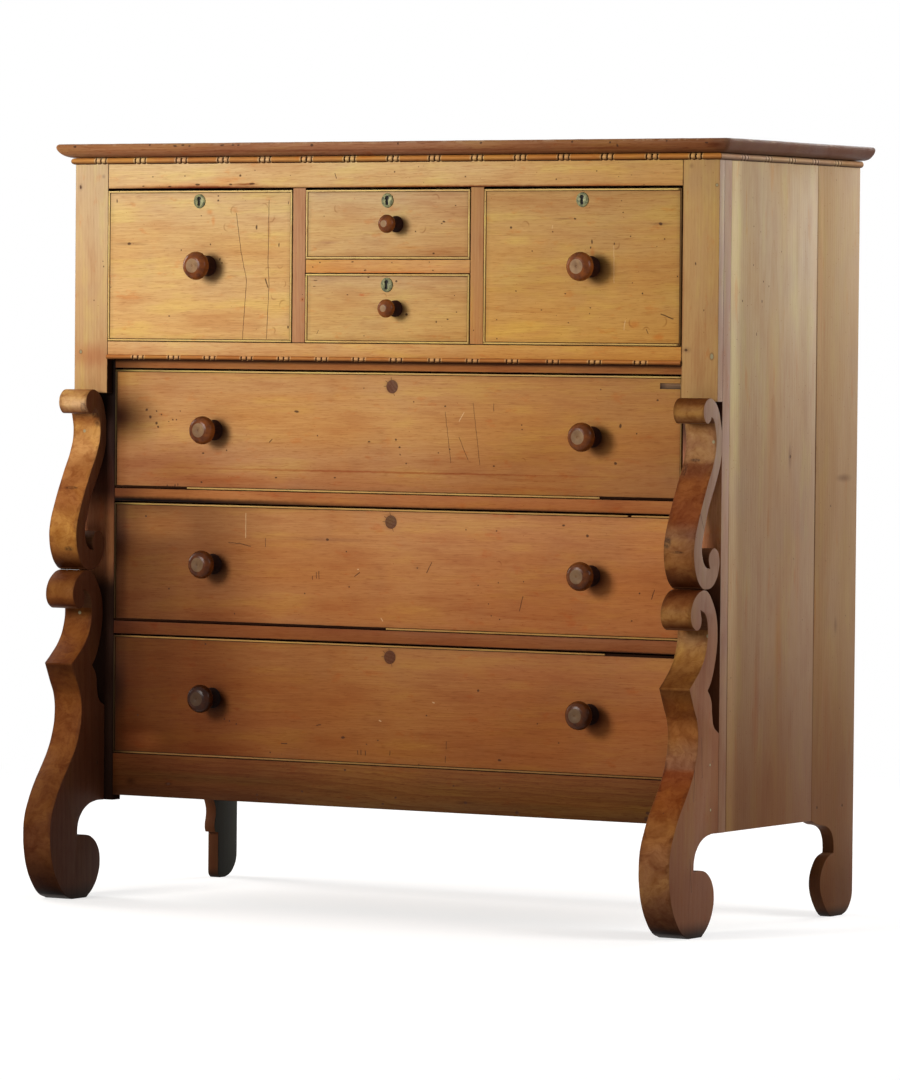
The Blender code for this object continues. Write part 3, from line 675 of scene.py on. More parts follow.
def markedTone(tree, look, coords, tone):
    # stains and painted shadows and light, wear, bruises, fillers and dents; also gives back the
    # mask of the dents
    plane = look["plane"]
    onFace = vectorCalc(tree, "MULTIPLY", coords, onlyPlane[plane])
    wobble = evenNoise(tree, onFace, *markLooks["fray"])
    wobble = vectorScale(tree, wobble, markLooks["frayReach"])
    wobbly = vectorCalc(tree, "ADD", onFace, wobble)
    wobbly = vectorCalc(tree, "MULTIPLY", wobbly, onlyPlane[plane])
    for *mark, colour, strength in look["stainsAndShade"]:
        stainAndShadeMask = spotMask(tree, wobbly, plane, mark, markLooks["stainSoftness"])
        tone = tintBy(tree, stainAndShadeMask, strength, tone, colour)
    perMetre, size, freckled = markLooks["freckles"]
    freckles = speckMask(tree, onFace, perMetre, look["freckleShare"], size)
    dents = [speckMask(
        tree, onFace, look["specksPerMetre"], look["speckShare"], look["speckSize"]
    )]
    dents += [spotMask(tree, wobbly, plane, mark) for mark in look["spots"]]
    dentMask = strongest(tree, dents + scratchMasks(tree, wobbly, plane, look["cracks"]))
    if look["worn"]:
        tone, edgeOnly = rubEdge(tree, look, coords, tone)
        freckles = times(tree, freckles, edgeOnly)
        dentMask = times(tree, dentMask, edgeOnly)
    if look["scuff"]:
        smear = drawnNoise(tree, coords, look["scuffStretch"], 4.0, 0.65)
        smear = remap(tree, smear, *markLooks["scuff"])
        tone = tintBy(tree, smear, look["scuff"], tone, scuffRed)
    tone = tintBy(tree, freckles, freckled, tone, freckleBrown)
    if look["moons"]:
        tone = addMoons(tree, look, wobbly, tone)
    grow, rimStrength = markLooks["puttyRim"]
    for across, up, wide, high in look["fillers"]:
        around = spotMask(tree, onFace, plane, (across, up, wide * grow, high * grow))
        tone = coverBy(tree, around, rimStrength, tone, grimeAndShadeDark)
        filler = spotMask(tree, onFace, plane, (across, up, wide, high))
        tone = coverBy(tree, filler, markLooks["putty"], tone, fillerGrey)
    if look["pale"]:
        pale = strongest(tree, scratchMasks(tree, wobbly, plane, look["pale"]))
        tone = coverBy(tree, pale, markLooks["pale"], tone, paleWood)
    return coverBy(tree, dentMask, look["dentDepth"], tone, dentDark), dentMask


def makePine(name, look):
    # look holds any of the settings named in plainPine
    look = {**plainPine, **look}
    material, tree, shader = newMaterial(name)
    coords = pieceCoords(tree)
    tone, grain = grainTone(tree, look, coords)
    tone, dentMask = markedTone(tree, look, coords, tone)
    for low, high, reach, strength in look["rims"]:
        rim = placeGroup(tree, rimGrimeAndShade, {
            "Vector": coords, "Low": low, "High": high, "Reach": reach * millimetre,
        })["Mask"]
        tone = coverBy(tree, rim, strength, tone, grimeAndShadeDark)
    if look["turned"]:
        # painted shade in the grooves of a turned bar: near its axis the tone goes dark
        axisPlace, keep, radius = look["turned"]
        inner, outer, strength = surfaceLooks["groove"]
        fromAxis = vectorCalc(tree, "SUBTRACT", coords, axisPlace)
        fromAxis = vectorCalc(tree, "LENGTH", vectorCalc(tree, "MULTIPLY", fromAxis, keep))
        groove = fadeOut(tree, fromAxis, radius * inner, radius * outer)
        tone = coverBy(tree, groove, strength, tone, grimeAndShadeDark)
    relief = times(tree, grain["Fibre"], surfaceLooks["fibre"])
    for lower, share in ((grain["Growth"], "growth"), (dentMask, "dents")):
        relief = calc(tree, "SUBTRACT", relief, times(tree, lower, surfaceLooks[share]))
    start, full, less, more = surfaceLooks["cloudRough"]
    rough = look["rough"]
    fillInputs(tree, shader.inputs, {
        "Base Color": tone,
        "Roughness": remap(tree, grain["Cloud"], start, full, rough + less, rough + more),
        "Normal": bump(tree, relief, look["bump"], surfaceLooks["relief"]),
        "Specular IOR Level": look["sheen"],
    })
    return material


plainPine = {
    "plane": "XZ",  # the face that the marks are laid out on
    "grain": "X",
    "heart": (0.1, -0.02, 0.9),  # where the middle of the log would be
    "tilt": (0, 0.012, 0.01),
    "ringSpacing": 0.0052,
    "wander": 0.03,
    # tones by height and ramps across: in many looks they also paint the light's falloff and the
    # scrolls' shadows
    "tones": ((0, (0.4, 0.18, 0.06)), (1.2, (0.66, 0.38, 0.15))),  # by height
    "across": (),  # the same from left to right, to multiply with
    "cloud": 0.6,
    "grey": 0.6,
    "growth": 0.12,
    "fibre": 0.34,
    "dash": 0.48,
    "blotch": 0.7,
    # lean: painted shade on turned-down and turned-up faces
    "lean": (),  # what turned-down and turned-up faces are multiplied by
    "specksPerMetre": 46,
    "speckShare": 0.13,
    "speckSize": 1.4 * millimetre,
    "freckleShare": 0.16,
    "dentDepth": 0.85,
    "scuff": 0.45,
    "scuffStretch": (26, 26, 60),
    "spots": (),  # dents: (across, up, half width, half height) in millimetres
    "cracks": (),  # dark lines: a width and then (across, up) corners
    "pale": (),  # pale lines, given in the same way
    "fillers": (),  # putty over nails and screws, given like spots
    "moons": (),  # round tool marks: (across, up, radius)
    "worn": (),  # height where the wear starts, where it is full, strength
    "wornTone": (0.62, 0.44, 0.3),
    # stains, and painted shadows and light, each with a colour to multiply with and a strength
    "stainsAndShade": (),  # spots with a colour to multiply with and a strength
    # rims: dirt and painted shade inside the rim of a rectangle
    "rims": (),  # low and high corner of a rectangle, reach in millimetres, strength
    "turned": (),  # a point of the axis, which axes count, radius
    "bump": 0.35,
    "rough": 0.46,
    "sheen": 0.05,
}
print("materials ready")


# boards of the case
uprightGrain = {"grain": "Z", "scuffStretch": (60, 60, 26)}
woodKinds = {
    "frame": {"tones": ((0.85, (0.62, 0.33, 0.13)), (1.17, (0.68, 0.41, 0.18)))},
    "stile": {
        **uprightGrain, "tones": ((0.8, (0.6, 0.37, 0.16)), (1.17, (0.65, 0.475, 0.28))),
        "growth": 0.16, "fibre": 0.18, "dash": 0.2, "cloud": 0.35,
    },
    # the posts' tones and ramp paint the scrolls' shadows: near black where a roll stands in front,
    # lit brown between the rolls
    "postLeft": {
        **uprightGrain, "sheen": 0.02,
        "tones": (
            (0.15, (0.036, 0.021, 0.016)), (0.49, (0.05, 0.026, 0.019)), (0.54, (0.62, 0.27, 0.14)),
            (0.6, (0.56, 0.24, 0.12)), (0.65, (0.1, 0.04, 0.026)), (0.72, (0.045, 0.022, 0.018)),
            (0.8, (0.02, 0.01, 0.008)),
        ),
        "across": (
            (-0.585, (1, 1, 1)), (-0.545, (0.85, 0.82, 0.8)), (-0.525, (0.6, 0.55, 0.52)),
            (-0.515, (0.35, 0.3, 0.3)),
        ),
    },
    "postRight": {
        **uprightGrain, "sheen": 0.02,
        "tones": (
            (0.15, (0.1, 0.04, 0.02)), (0.4, (0.14, 0.055, 0.028)), (0.48, (0.06, 0.026, 0.015)),
            (0.52, (0.12, 0.05, 0.028)), (0.57, (0.52, 0.22, 0.105)), (0.64, (0.6, 0.29, 0.15)),
            (0.71, (0.42, 0.18, 0.095)), (0.77, (0.1, 0.05, 0.033)), (0.8, (0.05, 0.02, 0.015)),
        ),
    },
    "postSide": {
        **uprightGrain, "plane": "YZ", "growth": 0.08, "fibre": 0.12, "dash": 0.12,
        "tones": (
            (0.15, (0.22, 0.125, 0.08)), (0.75, (0.335, 0.225, 0.17)), (1.17, (0.38, 0.275, 0.2)),
        ),
    },
    "rail": {
        "tones": (
            (0.16, (0.15, 0.05, 0.018)), (0.43, (0.28, 0.1, 0.035)), (0.64, (0.43, 0.172, 0.06)),
            (0.86, (0.6, 0.27, 0.1)),
        ),
    },
    "side": {
        "plane": "YZ", "grain": "Z",
        "tones": (
            (0.15, (0.173, 0.08, 0.036)), (0.55, (0.29, 0.184, 0.108)), (1.12, (0.44, 0.325, 0.19)),
        ),
        "growth": 0.16, "fibre": 0.18, "dash": 0.16, "blotch": 0.5, "cloud": 0.4, "grey": 0.4,
        "scuffStretch": (60, 60, 9), "rough": 0.52,
    },
    "inner": {
        "tones": ((0.15, (0.5, 0.33, 0.19)), (1.17, (0.56, 0.38, 0.22))),
        "growth": 0.26, "fibre": 0.3, "scuff": 0.2,
    },
}
# node: piece, slot, kind of wood, its own looks, and where the drawers' gaps are
boardLooks = {
    "frieze_rail": ("friezeRail", "frame_pine", "frame", {
        "tones": (
            (1.12, (0.66, 0.4, 0.175)), (1.135, (0.71, 0.49, 0.255)), (1.17, (0.74, 0.54, 0.29)),
        ),
        # the ramp paints the light's falloff to the right
        "across": ((-0.52, (1, 1, 1)), (0, (0.92, 0.86, 0.74)), (0.52, (0.83, 0.66, 0.42))),
        "heart": (0.3, -0.1, 1.2), "specksPerMetre": 90, "speckShare": 0.42, "freckleShare": 0.4,
        "spots": (
            (-272, 1147, 2.4, 2.2), (-376, 1147, 1.6, 1.4), (-437, 1146, 1.6, 1.2),
            (-352, 1133, 6, 2), (-290, 1133, 4, 1.6), (-455, 1131, 3, 1.4), (-405, 1130, 4, 1.5),
            (-250, 1134, 7, 2), (12, 1151, 1.5, 1.5), (140, 1143, 1.6, 1.4), (301, 1138, 2, 1.6),
            (372, 1150, 1.4, 1.4),
        ),
        "cracks": ((0.9, (-97, 1149), (-94, 1142)),),
        "stainsAndShade": (
            (-360, 1127, 190, 12, (0.9, 0.55, 0.38), 0.8), (-300, 1139, 40, 9, scuffRed, 0.5),
            # this stain and the last: a dark band along the lower edge, red-brown wood with the
            # painted shade of the gap below
            (-340, 1128.2, 250, 4.4, (0.24, 0.08, 0.06), 1),
            (-262, 1133, 34, 3, (0.42, 0.2, 0.12), 0.9),
            (40, 1127, 260, 6, (0.96, 0.66, 0.46), 0.7),
            (380, 1127, 160, 6, (0.95, 0.62, 0.42), 0.7),
            (150, 1127.6, 460, 3.8, (0.32, 0.14, 0.1), 0.95),
        ),
    }, "level"),
    "lower_frame_rail": ("lowerFrameRail", "frame_pine", "frame", {
        "tones": ((0.857, (0.6, 0.325, 0.13)), (0.885, (0.66, 0.4, 0.175))),
        # the ramp paints the light's falloff to the right
        "across": ((-0.52, (1, 1.02, 1.05)), (0.52, (0.91, 0.78, 0.43))),
        "heart": (-0.2, -0.1, 0.8), "speckShare": 0.14,
    }, "level"),
    "small_rail": ("smallRail", "frame_pine", "frame", {
        "tones": ((0.99, (0.62, 0.3, 0.1)), (1.02, (0.64, 0.36, 0.135))),
        "heart": (0, -0.13, 1.05), "speckShare": 0.14,
        "spots": (
            (-123, 1011, 1.8, 1.2), (-136, 1004, 1.6, 1.2), (-63, 1012, 3, 1.2), (-40, 999, 3, 1.6),
            (9, 1011, 1.6, 1), (76, 1012, 1.2, 1.2), (83, 999, 2.2, 1), (-26, 994, 3, 1.2),
        ),
        "stainsAndShade": ((0, 995, 150, 4, (0.95, 0.62, 0.4), 0.8),),
    }, "level"),
    "upper_stile_left": ("stileLeft", "frame_pine", "stile", {
        "heart": (-0.7, -0.2, 0.9),
        "spots": (
            (-575, 1130, 2.2, 4), (-530, 1004, 1.5, 2), (-531, 1012, 1.2, 1.2),
            (-548, 950, 1.2, 1.6),
        ),
        "stainsAndShade": (
            (-550, 862, 60, 30, (0.84, 0.62, 0.58), 0.9), (-531, 1147, 5, 5, knotGrey, 0.9),
            (-575, 1130, 6, 9, knotGrey, 0.9), (-553, 1000, 34, 300, (0.97, 0.95, 0.98), 0.6),
        ),
        "fillers": ((-573, 868, 3, 3.2),),
    }, "upright"),
    "upper_stile_right": ("stileRight", "frame_pine", "stile", {
        "tones": ((0.8, (0.45, 0.26, 0.104)), (1.17, (0.485, 0.29, 0.114))),
        "heart": (0.66, -0.22, 0.9),
        "spots": ((530, 880, 3.5, 2.6), (545, 1010, 1.4, 3), (560, 940, 1.2, 2)),
        "stainsAndShade": (
            (530, 880, 12, 7, knotGrey, 0.9), (536, 1157, 6, 6, knotGrey, 0.8),
            (522, 1000, 4, 300, (0.8, 0.62, 0.55), 0.8),
        ),
        "fillers": ((580, 1128, 2.6, 2.6), (574, 871, 3.4, 5.2)),
    }, "upright"),
    "partition_left": ("partitionLeft", "frame_pine", "stile", {
        "tones": ((0.88, (0.52, 0.27, 0.13)), (1.13, (0.48, 0.26, 0.14))),
        "heart": (-0.25, -0.19, 1), "growth": 0.16,
        "spots": ((-155, 953, 1.4, 1.4), (-155, 961, 1.2, 1)),
        "stainsAndShade": ((-168, 1000, 4, 90, (0.9, 0.78, 0.85), 0.5), (-155, 953, 7, 5, scuffRed, 0.7)),
    }, "upright"),
    "partition_right": ("partitionRight", "frame_pine", "stile", {
        "tones": ((0.88, (0.48, 0.23, 0.083)), (1.13, (0.44, 0.23, 0.096))),
        "heart": (0.25, -0.19, 1), "growth": 0.16,
        "spots": ((157, 907, 1.4, 1.4),),
    }, "upright"),
    "long_rail_1": ("longRail1", "frame_pine", "rail", {
        "heart": (0, -0.2, 0.8),
        # the tones paint the mid trim's shadow along the top, and the ramp the scroll's shadow at
        # the left end
        "tones": (
            (0.843, (0.42, 0.175, 0.06)), (0.85, (0.36, 0.145, 0.048)),
            (0.8568, (0.07, 0.026, 0.011)),
        ),
        "across": ((-0.52, (0.3, 0.26, 0.26)), (-0.42, (0.9, 0.9, 0.9)), (0.5, (0.9, 0.86, 0.8))),
    }, "level"),
    "long_rail_2": ("longRail2", "frame_pine", "rail", {
        "heart": (0.2, -0.2, 0.6),
        # the ramp paints the scroll's shadow at the left end, and the dark bands along the lower
        # edge the shade of the gap below
        "across": (
            (-0.52, (0.3, 0.24, 0.24)), (-0.42, (0.7, 0.66, 0.6)), (-0.3, (0.95, 0.93, 0.88)),
            (0.5, (0.95, 0.9, 0.85)),
        ),
        "stainsAndShade": (
            (-480, 631.5, 620, 10, (0.03, 0.02, 0.02), 1),
            (-480, 632.5, 480, 9, (0.03, 0.02, 0.02), 1),
            (200, 630.5, 520, 6, (0.05, 0.03, 0.03), 0.9),
        ),
    }, "level"),
    "long_rail_3": ("longRail3", "frame_pine", "rail", {
        "heart": (-0.3, -0.2, 0.4),
        # the ramp paints the scroll's shadow at the left end, and the dark bands along the edges
        # the shade of the gaps
        "across": (
            (-0.52, (0.2, 0.15, 0.15)), (-0.42, (0.5, 0.44, 0.42)), (-0.2, (0.85, 0.82, 0.78)),
            (0.5, (0.95, 0.9, 0.85)),
        ),
        "stainsAndShade": (
            (-100, 419.5, 500, 3, (0.06, 0.04, 0.04), 0.9),
            (400, 419, 250, 5, (0.04, 0.03, 0.03), 1),
            (330, 441.5, 230, 3.6, (0.05, 0.04, 0.04), 0.9),
        ),
    }, "level"),
    "base_rail": ("baseRail", "frame_pine", "rail", {
        "tones": (
            (0.162, (0.117, 0.055, 0.019)), (0.19, (0.156, 0.065, 0.0165)),
            (0.229, (0.205, 0.08, 0.02)),
        ),
        # the ramp paints the lower scroll's shadow at the left end
        "across": (
            (-0.52, (0.36, 0.28, 0.3)), (-0.3, (0.63, 0.51, 0.58)), (-0.05, (1, 1, 1)),
            (0.5, (0.95, 0.9, 0.85)),
        ),
        "heart": (0.1, -0.24, 0.15), "wander": 0.045,
        "growth": 0.44, "fibre": 0.5, "dash": 0.7, "speckShare": 0.2,
        "spots": (
            (-410, 184, 4, 3), (-242, 174, 3, 2), (-242, 167, 2, 2), (-158, 183, 3, 2.2),
            (14, 181, 3, 2), (-9, 170, 3, 2), (-79, 220, 3, 2), (141, 179, 4, 2.8),
            (233, 168, 4.4, 3.4), (462, 169, 6, 4.4), (464, 178, 6, 3), (202, 204, 2, 1.6),
            (119, 204, 2, 1.6),
        ),
        "stainsAndShade": (
            (-482, 185, 14, 9, (0.45, 0.4, 0.4), 0.8), (-80, 186, 160, 7, (0.78, 0.8, 0.86), 0.6),
            (260, 178, 180, 8, (0.78, 0.8, 0.86), 0.6),
            (-330, 196, 240, 12, (0.92, 1.15, 1.1), 0.9),
            (-410, 184, 12, 3.4, (0.4, 0.42, 0.45), 0.9),
            (420, 178, 150, 15, (1.22, 1.36, 1.25), 0.8), (141, 179, 30, 3, (0.62, 0.56, 0.6), 0.8),
        ),
    }, "level"),
    "side_board_left": ("sideBoardLeft", "side_pine", "side", {"heart": (-0.55, 0.22, 0.3)}, ""),
    "side_board_right": ("sideBoardRight", "side_pine", "side", {
        "heart": (0.52, 0.02, 0.4),
        "stainsAndShade": (
            (-112, 650, 30, 4000, (1.46, 1.6, 1.56), 0.9),
            (-121, 330, 1.6, 420, (0.5, 0.4, 0.35), 0.9), (189, 954, 7, 26, knotGrey, 0.8),
            (181, 806, 7, 24, knotGrey, 0.8), (72, 718, 7, 30, knotGrey, 0.9),
            (40, 430, 14, 150, (0.98, 0.74, 0.6), 0.6),
            (-30, 330, 12, 140, (0.98, 0.72, 0.58), 0.6),
            (100, 560, 12, 180, (0.98, 0.78, 0.66), 0.5), (10, 800, 20, 260, (1, 0.86, 0.76), 0.5),
            (120, 900, 26, 500, (0.9, 0.88, 0.84), 0.9), (90, 1040, 9, 120, (0.86, 0.8, 0.74), 0.7),
        ),
        "spots": (
            (73, 718, 2.6, 3.6), (182, 806, 2, 2.6), (189, 954, 2, 3), (-20, 985, 1.6, 2),
            (-52, 1010, 1.4, 2.2), (-24, 955, 1.8, 3.2), (-2, 978, 1.6, 2), (-86, 955, 1.6, 2.4),
            (-40, 905, 1.4, 3.2), (-52, 1068, 1.4, 1.6), (-30, 1060, 1.2, 1.4),
        ),
    }, ""),
}
# near-black wood that paints the shade in the drawers' gaps
gapShadeWood = makePine("gapShadePine", {
    "tones": ((0.15, (0.02, 0.008, 0.005)), (1.17, (0.035, 0.015, 0.008))),
    "scuff": 0, "rough": 0.8, "sheen": 0,
})
postSideWood = makePine("postSidePine", woodKinds["postSide"])
postWood = {
    side: makePine(f"postPine_{side}", woodKinds["post" + side.title()])
    for side in ("left", "right")
}
insideLooks = {
    "back": {  # six upright boards
        "grain": "Z", "tilt": (0, 0.03, 0), "heart": (0.1, 0.4, 0.5),
        "across": (
            (-0.3775, (1, 1, 1)), (-0.3765, (0.86, 0.82, 0.78)), (-0.1905, (0.9, 0.86, 0.8)),
            (-0.1895, (1.05, 1.02, 0.98)), (0.0035, (1.02, 1, 0.96)), (0.0045, (0.92, 0.9, 0.88)),
            (0.1895, (0.94, 0.9, 0.86)), (0.1905, (0.82, 0.76, 0.7)), (0.3715, (0.84, 0.8, 0.74)),
            (0.3725, (0.98, 0.95, 0.92)),
        ),
        "cracks": (
            (2.2, (-377, 150), (-377, 1180)), (2, (-190, 150), (-190, 1180)),
            (2.6, (4, 150), (4, 1180)), (2, (190, 150), (190, 1180)),
            (2.2, (372, 150), (372, 1180)),
        ),
        "spots": tuple(  # heads of nails
            (x, z, 2.2, 2.2) for x in (-470, -284, -93, 97, 281, 470) for z in (190, 645, 1120)
        ),
    },
    "dust": {"grain": "X", "tilt": (0, 0.02, 0.02), "cloud": 0.8},
    "box": {"plane": "YZ", "grain": "Y", "tilt": (0.02, 0, 0.03), "cloud": 0.5},
}


def noteLean(piece):
    # keeps how far each corner of the mesh is turned up (1) or down (-1)
    lean = piece.data.attributes.new("lean", "FLOAT", "POINT")
    lean.data.foreach_set("value", [corner.normal.z for corner in piece.data.vertices])


def paintFaces(piece, material, wanted):
    # gives the wanted faces a further material
    piece.data.materials.append(material)
    index = len(piece.data.materials) - 1
    for face in piece.data.polygons:
        if wanted(face):
            face.material_index = index


def facesOutwards(face):
    return face.normal.x * face.center.x > 0 and abs(face.normal.x) > 0.7


def facesInwards(face):
    return face.normal.x * face.center.x < 0 and abs(face.normal.x) > 0.7


def paintGapShade(board, direction):
    # painted shade: the faces that line the drawer openings are made near black
    def linesGap(face):
        if direction == "level":
            return abs(face.normal.z) > 0.9
        inwards = face.normal.x * face.center.x < 0 or abs(face.center.x) < 0.2
        return abs(face.normal.x) > 0.9 and inwards

    paintFaces(board, gapShadeWood, linesGap)


def dressBoards():
    for node, (name, slot, kind, own, gaps) in boardLooks.items():
        low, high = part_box(node)
        look = {**woodKinds[kind], **own}
        # dirt and painted shade in the joints round each board
        if kind != "side":
            look["rims"] = ((low, high, 1.3, 0.75),)
        board = makeBoard(name, low, high)
        finishPiece(board, makePine(name + "Pine", look), "case", [node])
        if gaps:
            paintGapShade(board, gaps)
        if name.startswith("stile"):
            paintFaces(board, postSideWood, facesOutwards)


def boxWood(node):
    # each drawer box is cut from another part of the log
    low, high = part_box(node)
    middle = (low + high) / 2
    heart = (middle.x, middle.y, low.z - 0.05 - 0.1 * (middle.x + 0.6))
    look = {**woodKinds["inner"], **insideLooks["box"], "heart": heart}
    return makePine("boxPine" + node.removeprefix("drawer_box"), look)


def dressInside():
    # the CAD nodes that show only from behind or in an open drawer
    backWood = makePine("backPine", {**woodKinds["inner"], **insideLooks["back"]})
    dustWood = makePine("dustPine", {**woodKinds["inner"], **insideLooks["dust"]})
    for name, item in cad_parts.items():
        if name.startswith("drawer_box"):
            wood = boxWood(name)
        elif name.startswith("back"):
            wood = backWood
        elif name.startswith(("long_dust", "small_dust", "upper_dust")):
            wood = dustWood
        else:
            continue
        for holder in item.material_slots:
            holder.material = wood


dressBoards()
dressInside()
print("boards done")
